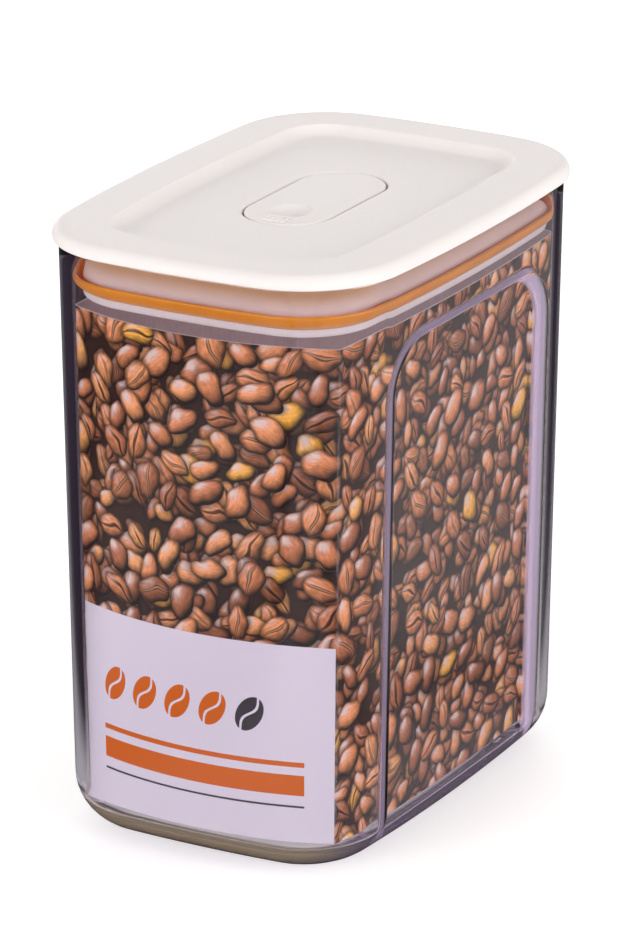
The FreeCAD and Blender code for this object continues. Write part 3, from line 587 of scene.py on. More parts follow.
def bean_layer_group(bean):
    """A scatter of beans in which neighbours lie over each other."""
    tree, g, start, end = new_group(
        "bean_layer", [("Vector", "Vector"), ("Offset", "Vector"), ("Cell", "Float"), ("Reach", "Float"),
                       ("Left out", "Float")],
        [("Colour", "Color"), ("Cover", "Float"), ("Shadow", "Float")])
    moved = g.vector("ADD", start["Vector"], start["Offset"])
    point = g.add("ShaderNodeVectorMath", {"operation": "SCALE"})
    g.feed(point.inputs[0], moved)
    g.feed(point.inputs["Scale"], g.math("DIVIDE", 1.0, start["Cell"]))
    point = point.outputs[0]
    warp = g.noise(point, 1.3, 1.0, flat=True).outputs["Color"]
    sway = g.vector("MULTIPLY", g.vector("SUBTRACT", warp, (0.5, 0.5, 0.5)), (0.30, 0.30, 0.0))
    point = g.vector("ADD", point, sway)
    beans = []
    for feature in ("F1", "F2"):
        cells = g.add("ShaderNodeTexVoronoi", {"feature": feature, "voronoi_dimensions": "2D"},
                      Vector=point, Scale=1.0, Randomness=0.72)
        one = g.add("ShaderNodeGroup", {"node_tree": bean}, Point=point, Centre=cells.outputs["Position"],
                    Random=cells.outputs["Color"], Reach=start["Reach"])
        kept = g.math("GREATER_THAN", one.outputs["Rank"], start["Left out"])
        beans.append([one.outputs["Colour"], g.math("MULTIPLY", one.outputs["Cover"], kept),
                      g.math("MULTIPLY", one.outputs["Shadow"], kept), one.outputs["Rank"]])
    swap = g.math("GREATER_THAN", beans[1][3], beans[0][3])

    def chosen(first, second):
        """Colour, cover and shadow of the first bean, or of the second where they swap."""
        return [g.mix(swap, first[0], second[0])] + [g.blend(swap, first[i], second[i]) for i in (1, 2)]

    upper = chosen(beans[0], beans[1])
    lower = chosen(beans[1], beans[0])
    shadow_depth = 0.72
    shadow_tone = (0.008, 0.006, 0.006, 1.0)
    dimmed = g.mix(g.math("MULTIPLY", upper[2], shadow_depth), lower[0], shadow_tone)
    g.feed(end["Colour"], g.mix(upper[1], dimmed, upper[0]))
    g.feed(end["Cover"], g.math("MAXIMUM", upper[1], lower[1]))
    g.feed(end["Shadow"], g.math("MAXIMUM", upper[2], lower[2]))
    return tree


def bean_print(graph, place, bean_length):
    """Colour of a heap of roasted beans, over sheet coordinates in millimetres."""
    layer = bean_layer_group(bean_group())
    size = bean_length / MM
    gloom = (0.020, 0.010, 0.007, 1.0)
    shadow_depth = 0.64
    shade = (0.045, 0.020, 0.012, 1.0)
    # Offset, cell and reach in bean lengths, share left out and lightness of each layer, from the lowest up
    heap = ((17.3, -28.1, 0.80, 0.56, 0.00, 0.68), (0.0, 0.0, 0.80, 0.54, 0.02, 0.82),
            (31.7, 12.9, 0.84, 0.53, 0.04, 0.94), (-53.1, 47.3, 0.94, 0.51, 0.22, 1.00))
    for x, y, cell, reach, left_out, light in heap:
        scatter = graph.add("ShaderNodeGroup", {"node_tree": layer}, Vector=place, Offset=(x, y, 0.0),
                            Cell=cell * size, Reach=reach, Left_out=left_out)
        under = graph.mix(graph.math("MULTIPLY", scatter.outputs["Shadow"], shadow_depth), shade, gloom)
        over = graph.mix(1.0 - light, scatter.outputs["Colour"], gloom)
        shade = graph.mix(scatter.outputs["Cover"], under, over)
    return shade


def worn_folds(graph, place, folds):
    """How far the print has cracked along the folds, given as places round the sheet."""
    around = graph.add("ShaderNodeSeparateXYZ", Vector=place).outputs[0]
    apart = [graph.math("ABSOLUTE", graph.math("SUBTRACT", around, fold / MM)) for fold in folds]
    nearest = apart[0]
    for other in apart[1:]:
        nearest = graph.math("MINIMUM", nearest, other)
    rub = graph.noise(graph.vector("MULTIPLY", place, (1.2, 0.16, 0.0)), 1.0, 4.0, 0.7, flat=True).outputs[0]
    line = graph.ease(nearest, 0.12, 0.50, 1.0, 0.0)
    return graph.math("MULTIPLY", line, graph.ease(rub, 0.40, 0.70, 0.02, 0.26))


def printed_card(finish, card, sheet, folds):
    """Printed side of the sleeve: beans all round and a label low on the front panel."""
    material, graph, surface = new_material("printed_card")
    around, tall, front_middle, front_half = (number / MM for number in sheet)
    map_node = graph.add("ShaderNodeUVMap", {"uv_map": "sheet"})
    place = graph.vector("MULTIPLY", map_node.outputs[0], (around, tall, 0.0))
    beans = bean_print(graph, place, card.bean_length)
    label_top = (card.label_height - CARD_LOW.z) / MM
    from_middle = graph.vector("SUBTRACT", place, (front_middle, 0.0, 0.0))
    spot = graph.add("ShaderNodeSeparateXYZ", Vector=from_middle)
    across = graph.math("ABSOLUTE", spot.outputs[0])
    up = spot.outputs[1]
    on_label = graph.math("MULTIPLY", graph.math("LESS_THAN", across, front_half),
                          graph.math("LESS_THAN", up, label_top))
    label = label_design(graph, finish, spot.outputs[0], up, front_half, label_top)
    shade = graph.mix(on_label, beans, label)
    shade = graph.mix(worn_folds(graph, place, folds), shade, rgba(finish.edge))
    graph.feed(surface.inputs["Base Color"], shade)
    fibre = graph.noise(place, 9.0, 3.0, flat=True).outputs[0]
    graph.feed(surface.inputs["Roughness"], graph.ease(fibre, 0.3, 0.7, 0.44, 0.52))
    surface.inputs["Specular IOR Level"].default_value = 0.15
    graph.feed(surface.inputs["Normal"], graph.bump(fibre, 0.03, 0.0001))
    return material


def label_design(graph, finish, x, y, half, top):
    """Stripes and a row of simple beans on a pale ground, in millimetres from the label's foot."""
    def band(value, low, high):
        above_low = graph.math("GREATER_THAN", value, low)
        return graph.math("MULTIPLY", above_low, graph.math("LESS_THAN", value, high))

    margin = 7.0
    ground = graph.add("ShaderNodeCombineXYZ", X=x, Y=y).outputs[0]
    cloud = graph.noise(ground, 0.05, 2.0, flat=True).outputs[0]
    shade = graph.mix(cloud, rgba([tone * 0.975 for tone in finish.label]), rgba(finish.label))
    inside = graph.math("LESS_THAN", graph.math("ABSOLUTE", x), half - margin)
    # Lower edge, upper edge and colour of each stripe
    stripes = ((8.0, 8.5, finish.ink), (11.0, 16.0, finish.accent), (18.0, 19.2, finish.accent))
    for low, high, tone in stripes:
        stripe = graph.math("MULTIPLY", band(y, low, high), inside)
        shade = graph.mix(stripe, shade, rgba(tone))
    count, pitch, inset, tilt = 5, 9.5, 4.0, math.radians(58)
    half_length, half_width = 4.6, 3.1
    sway, sway_rate, half_crease = 0.75, 0.75, 0.32
    cosine, sine = math.cos(tilt), math.sin(tilt)
    middle_height = top * 0.63
    for number in range(count):
        across = graph.math("SUBTRACT", x, margin - half + inset + pitch * number)
        above = graph.math("SUBTRACT", y, middle_height)
        along = graph.math("ADD", graph.math("MULTIPLY", across, cosine),
                           graph.math("MULTIPLY", above, sine))
        beside = graph.math("SUBTRACT", graph.math("MULTIPLY", above, cosine),
                            graph.math("MULTIPLY", across, sine))
        oval = graph.math("ADD", graph.math("POWER", graph.math("DIVIDE", along, half_length), 2.0),
                          graph.math("POWER", graph.math("DIVIDE", beside, half_width), 2.0))
        wave = graph.math("MULTIPLY", graph.math("SINE", graph.math("MULTIPLY", along, sway_rate)), sway)
        off_crease = graph.math("ABSOLUTE", graph.math("ADD", beside, wave))
        crease = graph.math("GREATER_THAN", off_crease, half_crease)
        bean = graph.math("MULTIPLY", graph.math("LESS_THAN", oval, 1.0), crease)
        shade = graph.mix(bean, shade, rgba(finish.ink if number == count - 1 else finish.accent))
    return shade


# Clear body

def body_stations(body, arcs):
    """Points round the plan, close together where a grip recess has its soft edge."""
    half = body.depth / 2 - body.grip_margin
    inner = half - body.grip_corner - body.grip_step
    outer = half + body.grip_step
    end_steps, middle_steps, corner_steps, bow_steps = 2, 8, 16, 14
    stations = []
    for number, (centre, radius, start, end) in enumerate(arcs):
        if number in SIDE_ARCS:
            reach = radius * math.sin((end - start) / 2)
            count = round((outer - inner) / FINE)
            marks = (steps_between(-reach, -outer, end_steps) + steps_between(-outer, -inner, count)
                     + steps_between(-inner, inner, middle_steps) + steps_between(inner, outer, count)
                     + steps_between(outer, reach, end_steps))
            middle = (start + end) / 2
            stations += [(number, middle + math.asin(mark / radius)) for mark in marks]
        else:
            count = corner_steps if number % 2 else bow_steps
            stations += [(number, angle) for angle in steps_between(start, end, count)]
    return stations


def grip_reach(body, across, level):
    """Distance outside a recess's outline, negative inside it."""
    half = body.depth / 2 - body.grip_margin
    top = body.height - body.grip_drop
    sideways = abs(across) - (half - body.grip_corner)
    upwards = level - (top - body.grip_corner)
    if sideways > 0 and upwards > 0:
        return math.hypot(sideways, upwards) - body.grip_corner
    return max(sideways, upwards) - body.grip_corner


def step_depth(body, across, level, behind):
    """How far down the soft step of a recess a place on the wall lies, 0 at its lip and 1 at its floor."""
    lip = behind / 2 + body.grip_lip
    return (lip - grip_reach(body, across, level)) / (body.grip_step + behind / 2)


def pressed_in(body, point, level, behind):
    """A point of a wall, moved in where a grip recess hollows it."""
    x, y = point
    flat = body.width / 2 - draft_at(body, level) - body.grip_depth - behind
    proud = abs(x) - flat
    soft = 0.5 * MM
    depth = (proud + math.sqrt(proud * proud + soft * soft)) / 2
    return (math.copysign(abs(x) - depth * smooth_step(step_depth(body, y, level, behind)), x), y)


def step_highlight_share(body, point, level, behind):
    """How far a place lies in the painted highlight band on the step of a recess."""
    if abs(point[0]) < body.width / 4:
        return 0.0
    depth = step_depth(body, point[1], level, behind)
    edge, steepness = 0.08, 4
    return smooth_step(steepness * (depth - edge)) * smooth_step(steepness * (1 - edge - depth))


def foot_light_share(body, level, behind):
    """How far a place lies in the middle of the rounded foot, outside, where light is painted into the
    plastic.
    """
    if behind:
        return 0.0
    height = level / body.base_round
    begins = smooth_step((height - 0.05) / 0.25)
    ends = smooth_step((height - 0.40) / 0.40)
    return begins * (1 - ends)


def blend_tone(first, second, share):
    return [a + (b - a) * share for a, b in zip(first, second)]


def clear_painted_light(looks, point, level, behind):
    """Painted light on the plastic's skin at a place: its colour, a painted highlight on the recess steps
    and painted light on the foot, and how matt it makes the plastic there.
    """
    body, finish = looks.body, looks.finish
    step = step_highlight_share(body, point, level, behind)
    foot = foot_light_share(body, level, behind)
    # Painted light on the foot: lavender at its sides, warm at its front and back
    side_end, turn = 0.34 * body.depth, 0.12 * body.depth
    forward = smooth_step((abs(point[1]) - side_end) / turn)
    foot_painted_tone = blend_tone(finish.painted_light, finish.foot, forward)
    tone = blend_tone(blend_tone(WHITE[:3], finish.painted_light, step), foot_painted_tone, foot * (1 - step))
    side_share = 0.55
    matt = max(step, foot * body.foot_painted_light * (side_share + (1 - side_share) * forward))
    return (*tone, 1.0), matt


def wall_levels(body, foot):
    """Levels up a wall from its foot to the rim, close together where the recess has its upper corners."""
    grip_top = body.height - body.grip_drop
    low = grip_top - body.grip_corner - body.grip_step
    high = grip_top + body.grip_step
    low_steps, rim_steps = 22, 4
    return (steps_between(foot, low, low_steps) + steps_between(low, high, round((high - low) / FINE))
            + steps_between(high, body.height - body.rim_round, rim_steps))


def body_profile(body):
    """Inset, level and depth behind the outer skin of each ring, from under the base to inside the floor."""
    foot = draft_at(body, 0) + body.base_round + body.foot_width
    # Softened inner edge of the ring that it stands on
    rows = [(foot + 0.3 * MM, body.foot_recess, 0.0),
            (foot, body.foot_recess - 0.15 * MM, 0.0),
            (foot - 0.2 * MM, 0.0, 0.0)]
    lean = draft_at(body, body.base_round)
    for sine, cosine in quarter_arc(12):
        rows.append((lean + body.base_round * (1 - sine), body.base_round * (1 - cosine), 0.0))
    rows += [(draft_at(body, level), level, 0.0) for level in wall_levels(body, body.base_round)[1:]]
    for sine, cosine in quarter_arc(5):
        rows.append((body.rim_round * (1 - cosine), body.height - body.rim_round * (1 - sine), 0.0))
    for sine, cosine in quarter_arc(5):
        rows.append((body.wall - body.rim_round * (1 - sine),
                     body.height - body.rim_round * (1 - cosine), body.wall))
    floor = body.foot_recess + body.floor
    inside = wall_levels(body, floor + body.inner_round)
    rows += [(body.wall + draft_at(body, level), level, body.wall) for level in reversed(inside)]
    foot_lean = body.wall + draft_at(body, floor + body.inner_round)
    for sine, cosine in quarter_arc(8, 1):
        rows.append((foot_lean + body.inner_round * (1 - cosine),
                     floor + body.inner_round * (1 - sine), body.wall))
    return rows


def build_clear_body(looks):
    body = looks.body
    arcs = plan_arcs(body)
    stations = body_stations(body, arcs)
    count = len(stations)
    points = []
    skin = []
    for inset, level, behind in body_profile(body):
        for point in plan_ring(arcs, stations, inset):
            points.append((*pressed_in(body, point, level, behind), level))
            skin.append(clear_painted_light(looks, point, level, behind))
    rings = len(points) // count
    faces = []
    for step in range(rings - 1):
        faces += ring_faces(step * count, (step + 1) * count, count)
    for first, level, upwards in ((0, body.foot_recess, False), ((rings - 1) * count, points[-1][2], True)):
        faces += cap_faces(points, first, count, level, upwards)
    piece = mesh_object("clear_body", points, faces)
    skin += [(WHITE, 0.0)] * (len(points) - len(skin))
    # Painted light of the steps and the foot, as a share and a tone on each point
    matt = piece.data.attributes.new("painted_light", "FLOAT", "POINT")
    matt.data.foreach_set("value", [share for tone, share in skin])
    cast = piece.data.attributes.new("cast", "FLOAT_COLOR", "POINT")
    cast.data.foreach_set("color", [part for tone, share in skin for part in tone])
    piece.data.materials.append(clear_plastic(looks.finish))
    finish_piece(piece, "canister", "clear_plastic", "container_body")


def cap_faces(points, first, count, level, upwards):
    """Close a ring with a narrower ring and a fan."""
    inner = len(points)
    share = 0.4
    points += [(x * share, y * share, level) for x, y, height in points[first:first + count]]
    middle = len(points)
    points.append((0.0, 0.0, level))
    fan = [(inner + step, inner + (step + 1) % count, middle) for step in range(count)]
    faces = ring_faces(first, inner, count) + fan
    return faces if upwards else [tuple(reversed(face)) for face in faces]


# Printed sleeve

def card_plan(looks, level, inset):
    """Fold and bow of the sleeve at a level: where a fold stands, and how far out each panel's middle is."""
    body, card = looks.body, looks.card
    drawn_in = draft_at(body, level) + body.wall + inset
    corner = plan_arcs(body)[3][0]
    reach = body.corner - drawn_in - card.gap
    fold = (corner[0] + reach * math.cos(card.fold_angle), corner[1] + reach * math.sin(card.fold_angle))
    front = body.depth / 2 - drawn_in - card.front_gap
    side = body.width / 2 - drawn_in - body.grip_depth - card.gap
    return fold, front, side


def bowed_line(start, end, swell, shares):
    """Points along a shallow arc that swells out from its chord, to the right of its direction."""
    run = (end[0] - start[0], end[1] - start[1])
    span = math.hypot(*run)
    out = (run[1] / span, -run[0] / span)
    rise = [4 * share * (1 - share) * swell for share in shares]
    return [(start[0] + run[0] * share + out[0] * lift, start[1] + run[1] * share + out[1] * lift)
            for share, lift in zip(shares, rise)]


def card_ring(looks, level, inset, steps):
    """Points of the sleeve's plan, four panels of as many points, from the front left fold."""
    fold, front, side = card_plan(looks, level, inset)
    x, y = fold
    folds = [(-x, -y), (x, -y), (x, y), (-x, y)]
    swells = [front - y, side - x, front - y, side - x]
    points = []
    for number in range(4):
        start, end = folds[number], folds[(number + 1) % 4]
        span = math.dist(start, end)
        bend = looks.card.fold_round / span
        shares = [bend] + [bend + (1 - 2 * bend) * step / steps for step in range(1, steps)] + [1 - bend]
        points += bowed_line(start, end, swells[number], shares)
        # A fold is a short bend between two panels
        after = folds[(number + 2) % 4]
        next_bend = looks.card.fold_round / math.dist(end, after)
        last = points[-1]
        first = bowed_line(end, after, swells[(number + 1) % 4], [next_bend])[0]
        points += [curve_point(last, end, first, share) for share in BEND_SHARES]
    return points


def build_card(looks):
    steps, rows = 28, 24
    levels = [CARD_LOW.z + (CARD_HIGH.z - CARD_LOW.z) * row / rows for row in range(rows + 1)]
    points = []
    for inset in (0.0, looks.card.thickness):
        for level in levels:
            points += [(*point, level) for point in card_ring(looks, level, inset, steps)]
    count = len(points) // (2 * len(levels))
    inner = count * len(levels)
    faces = []
    for row in range(rows):
        faces += ring_faces(row * count, (row + 1) * count, count)
    printed = len(faces)
    for row in range(rows):
        faces += [tuple(reversed(face)) for face in
                  ring_faces(inner + row * count, inner + (row + 1) * count, count)]
    bare = len(faces)
    faces += ring_faces(rows * count, inner + rows * count, count)
    faces += [tuple(reversed(face)) for face in ring_faces(0, inner, count)]
    piece = mesh_object("card_sleeve", points, faces)
    mesh = piece.data
    top_ring = points[rows * count:(rows + 1) * count]
    marks = [0.0]
    for step in range(count):
        marks.append(marks[-1] + math.dist(top_ring[step], top_ring[(step + 1) % count]))
    around = marks[-1]
    tall = CARD_HIGH.z - CARD_LOW.z
    sheet = mesh.uv_layers.new(name="sheet")
    for face in mesh.polygons:
        for corner, vertex in zip(face.loop_indices, face.vertices):
            station = vertex % count
            wraps = station == 0 and any(other % count == count - 1 for other in face.vertices)
            share = 1.0 if wraps else marks[station] / around
            sheet.data[corner].uv = (share, (mesh.vertices[vertex].co.z - CARD_LOW.z) / tall)
    panel = marks[steps]
    sizes = (around, tall, panel / 2, panel / 2 + looks.card.fold_round / 2)
    per_panel = steps + 1 + len(BEND_SHARES)
    bend_middles = [marks[per_panel * number + steps + 2] for number in range(4)]
    mesh.materials.append(printed_card(looks.finish, looks.card, sizes, bend_middles))
    # Painted shade: the bare inner side carries the mauve-grey of white board in shadow
    mesh.materials.append(card_board("bare_board_painted_shade", looks.finish.board))
    mesh.materials.append(card_board("cut_edge", looks.finish.edge))
    for face in mesh.polygons:
        face.material_index = 0 if face.index < printed else 1 if face.index < bare else 2
    mesh.set_sharp_from_angle(angle=math.radians(40))
    finish_piece(piece, "canister", "printed_card", "insert_card")


# Lid, seal and flap

def dress_node(name, material):
    """Give a node of the frame a finish of its own."""
    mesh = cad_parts[name].data
    mesh.materials.clear()
    mesh.materials.append(material)


def seal_profile(looks):
    """Section of the seal as distances in from the rim's outer edge and levels."""
    body, lid = looks.body, looks.lid
    fit = 0.1 * MM
    low = PLUG_LOW.z + lid.groove_low + fit
    high = low + lid.groove_height - 2 * fit
    crest = high + fit + lid.lip_rise
    neck = body.wall + lid.neck_gap - fit
    root = body.wall + lid.neck_gap + lid.groove_depth - fit
    rim = body.wall + lid.seal_room + draft_at(body, low)
    section = [(root, high), (root, low), (neck, low)]
    # Outer face of the lip: a swelling curve from the groove out to the wall
    half_lip = lid.lip / 2
    outer = (rim, crest - half_lip)
    bulge = ((neck + rim) / 2 - 0.75 * MM, (low + crest) / 2 - 0.75 * MM)
    section += [curve_point((neck, low), bulge, outer, step / 8) for step in range(1, 9)]
    for step in range(1, 6):
        angle = math.pi * step / 6
        section.append((rim + half_lip * (1 - math.cos(angle)),
                        crest - half_lip + half_lip * math.sin(angle)))
    inner = (rim + lid.lip, crest - half_lip)
    valley = (neck, low + lid.lip)
    dip = ((neck + inner[0]) / 2 + 0.1 * MM, (valley[1] + inner[1]) / 2 - 0.55 * MM)
    section += [curve_point(inner, dip, valley, step / 8) for step in range(9)]
    section.append((neck, high))
    return section


def end_tree(graph, shape, material):
    """Make a tree's instances real, give them their material and put them out."""
    real = graph.add("GeometryNodeRealizeInstances", Geometry=shape)
    coated = graph.add("GeometryNodeSetMaterial", Geometry=real.outputs[0], Material=material)
    graph.feed(graph.add("NodeGroupOutput").inputs[0], coated.outputs[0])


def sweep_tree(material):
    """Tree that sweeps a section along a closed path."""
    tree = bpy.data.node_groups.new("sweep_section", "GeometryNodeTree")
    for label, kind in (("Path", "Geometry"), ("Section", "Object"), ("Scale", "Float")):
        tree.interface.new_socket(label, in_out="INPUT", socket_type=f"NodeSocket{kind}")
    tree.interface.new_socket("Geometry", in_out="OUTPUT", socket_type="NodeSocketGeometry")
    graph = Graph(tree)
    start = graph.add("NodeGroupInput").outputs
    path = graph.add("GeometryNodeMeshToCurve", Mesh=start["Path"])
    level = graph.add("GeometryNodeSetCurveNormal", {"mode": "Z_UP"}, Curve=path.outputs[0])
    held = graph.add("GeometryNodeObjectInfo", Object=start["Section"])
    section = graph.add("GeometryNodeMeshToCurve", Mesh=held.outputs["Geometry"])
    sized = graph.add("GeometryNodeTransform", Geometry=section.outputs[0], Scale=start["Scale"])
    swept = graph.add("GeometryNodeCurveToMesh", Curve=level.outputs[0], Profile_Curve=sized.outputs[0])
    soft = graph.add("GeometryNodeSetShadeSmooth", Geometry=swept.outputs[0])
    end_tree(graph, soft.outputs[0], material)
    return tree


def loop_object(name, points):
    """Closed line of edges."""
    mesh = bpy.data.meshes.new(name)
    count = len(points)
    mesh.from_pydata(points, [(step, (step + 1) % count) for step in range(count)], [])
    item = bpy.data.objects.new(name, mesh)
    bpy.context.scene.collection.objects.link(item)
    return item


def set_input(modifier, label, value):
    """Set a modifier's input by its socket's identifier."""
    socket = next(item for item in modifier.node_group.interface.items_tree
                  if item.name == label and item.in_out == "INPUT")
    modifier[socket.identifier] = value


def to_plain_mesh(name, holder, material):
    """The evaluated result of a tree as a mesh object of its own, in one material."""
    bpy.context.view_layer.update()
    evaluated = holder.evaluated_get(bpy.context.evaluated_depsgraph_get())
    mesh = bpy.data.meshes.new_from_object(evaluated)
    mesh.name = name
    mesh.materials.clear()
    mesh.materials.append(material)
    old = holder.data
    bpy.data.objects.remove(holder)
    bpy.data.meshes.remove(old)
    piece = bpy.data.objects.new(name, mesh)
    bpy.context.scene.collection.objects.link(piece)
    return piece


def build_seal(looks):
    arcs = plan_arcs(looks.body)
    stations = even_stations(arcs, bow_steps=26, corner_steps=26)
    section = seal_profile(looks)
    middle = looks.body.wall + looks.lid.neck_gap
    level = section[1][1]
    path = loop_object("seal_path", [(*point, level) for point in plan_ring(arcs, stations, middle)])
    flat = [(middle - inset, level - height, 0.0) for inset, height in reversed(section)]
    line = loop_object("seal_section", flat)
    material = silicone("orange_silicone", looks.finish.seal, depth=(0.004, 0.0012, 0.0002))
    modifier = path.modifiers.new("sweep", "NODES")
    modifier.node_group = sweep_tree(material)
    set_input(modifier, "Section", line)
    set_input(modifier, "Scale", 1.0)
    piece = to_plain_mesh("seal", path, material)
    held = line.data
    bpy.data.objects.remove(line)
    bpy.data.meshes.remove(held)
    finish_piece(piece, "lid", "orange_silicone", "gasket")


def bar_tree(material):
    """Tree that lays a row of low round-ended bars along Y."""
    tree = bpy.data.node_groups.new("row_of_bars", "GeometryNodeTree")
    tree.interface.new_socket("Geometry", in_out="INPUT", socket_type="NodeSocketGeometry")
    for label, kind in (("First", "Vector"), ("Step", "Vector"), ("Count", "Int"), ("Start", "Vector"),
                        ("End", "Vector"), ("Half width", "Float"), ("Flatten", "Vector")):
        tree.interface.new_socket(label, in_out="INPUT", socket_type=f"NodeSocket{kind}")
    tree.interface.new_socket("Geometry", in_out="OUTPUT", socket_type="NodeSocketGeometry")
    graph = Graph(tree)
    start = graph.add("NodeGroupInput").outputs
    row = graph.add("GeometryNodeMeshLine", {"mode": "OFFSET"}, Count=start["Count"], Offset=start["Step"])
    graph.feed(row.inputs["Start Location"], start["First"])
    line = graph.add("GeometryNodeCurvePrimitiveLine", Start=start["Start"], End=start["End"])
    fine = graph.add("GeometryNodeResampleCurve", Curve=line.outputs[0], Count=17)
    share = graph.add("GeometryNodeSplineParameter").outputs["Factor"]
    # A bar keeps its width and rounds off close to its ends, where a little is left for the caps
    full, bluntness = 1.02, 10.0
    off_middle = graph.math("ABSOLUTE", graph.math("MULTIPLY_ADD", share, 2.0, -1.0))
    taper = graph.math("SQRT", graph.math("SUBTRACT", full, graph.math("POWER", off_middle, bluntness)))
    ring = graph.add("GeometryNodeCurvePrimitiveCircle", Resolution=12, Radius=start["Half width"])
    bar = graph.add("GeometryNodeCurveToMesh", Curve=fine.outputs[0], Profile_Curve=ring.outputs[0],
                    Scale=taper, Fill_Caps=True)
    low = graph.add("GeometryNodeTransform", Geometry=bar.outputs[0], Scale=start["Flatten"])
    soft = graph.add("GeometryNodeSetShadeSmooth", Geometry=low.outputs[0])
    laid = graph.add("GeometryNodeInstanceOnPoints", Points=row.outputs[0], Instance=soft.outputs[0])
    end_tree(graph, laid.outputs[0], material)
    return tree


def build_ridges(looks):
    lid = looks.lid
    holder = loop_object("ridge_row", [])
    modifier = holder.modifiers.new("bars", "NODES")
    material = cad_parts["vent_flap"].data.materials[0]
    modifier.node_group = bar_tree(material)
    middle = FLAP_LOW.y + lid.ridge_offset
    first = middle - lid.ridge_pitch * (lid.ridge_count - 1) / 2
    set_input(modifier, "First", (0.0, first, FLAP_HIGH.z))
    set_input(modifier, "Step", (0.0, lid.ridge_pitch, 0.0))
    set_input(modifier, "Count", lid.ridge_count)
    set_input(modifier, "Start", (-lid.ridge_length / 2, 0.0, 0.0))
    set_input(modifier, "End", (lid.ridge_length / 2, 0.0, 0.0))
    set_input(modifier, "Half width", lid.ridge_width / 2)
    set_input(modifier, "Flatten", (1.0, 1.0, 2 * lid.ridge_height / lid.ridge_width))
    piece = to_plain_mesh("flap_ridges", holder, material)
    finish_piece(piece, "flap", "lid_plastic")


def build_lid(looks):
    lid = lid_plastic(looks.finish)
    dress_node("lid_cover", lid)
    dress_node("vent_flap", lid)
    dress_node("lid_plug", plug_plastic(looks.finish))
    stopper = silicone("white_silicone", looks.finish.stopper, depth=(0.003, 0.0025, 0.002))
    dress_node("vent_plug", stopper)


# Stage

def build_world(stage):
    """White beyond the object and dim to its sides, as between two screens."""
    world = bpy.data.worlds.new("studio")
    bpy.context.scene.world = world
    world.use_nodes = True
    graph = Graph(world.node_tree)
    world.node_tree.nodes.clear()
    end = graph.add("ShaderNodeOutputWorld")
    path = graph.add("ShaderNodeLightPath")
    way = graph.add("ShaderNodeTexCoord").outputs["Generated"]
    ahead = (-math.sin(stage.azimuth), math.cos(stage.azimuth), 0.0)
    facing = graph.math("ABSOLUTE", graph.vector("DOT_PRODUCT", way, ahead))
    beyond = graph.ease(facing, 0.76, 0.97)
    bent = graph.mix(beyond, rgba(stage.screen), WHITE)
    mirrored = (0.42, 0.40, 0.44, 1.0)
    seen = graph.mix(path.outputs["Is Glossy Ray"], bent, mirrored)
    seen = graph.mix(path.outputs["Is Camera Ray"], seen, WHITE)
    shown = graph.math("MAXIMUM", path.outputs["Is Camera Ray"], path.outputs["Is Transmission Ray"])
    shown = graph.math("MAXIMUM", shown, path.outputs["Is Glossy Ray"])
    warm_white = (1.0, 0.99, 0.985, 1.0)
    light = graph.add("ShaderNodeBackground", Color=warm_white, Strength=0.42)
    white = graph.add("ShaderNodeBackground", Color=seen, Strength=1.0)
    both = graph.add("ShaderNodeMixShader")
    graph.feed(both.inputs[0], shown)
    graph.feed(both.inputs[1], light.outputs[0])
    graph.feed(both.inputs[2], white.outputs[0])
    graph.feed(end.inputs["Surface"], both.outputs[0])


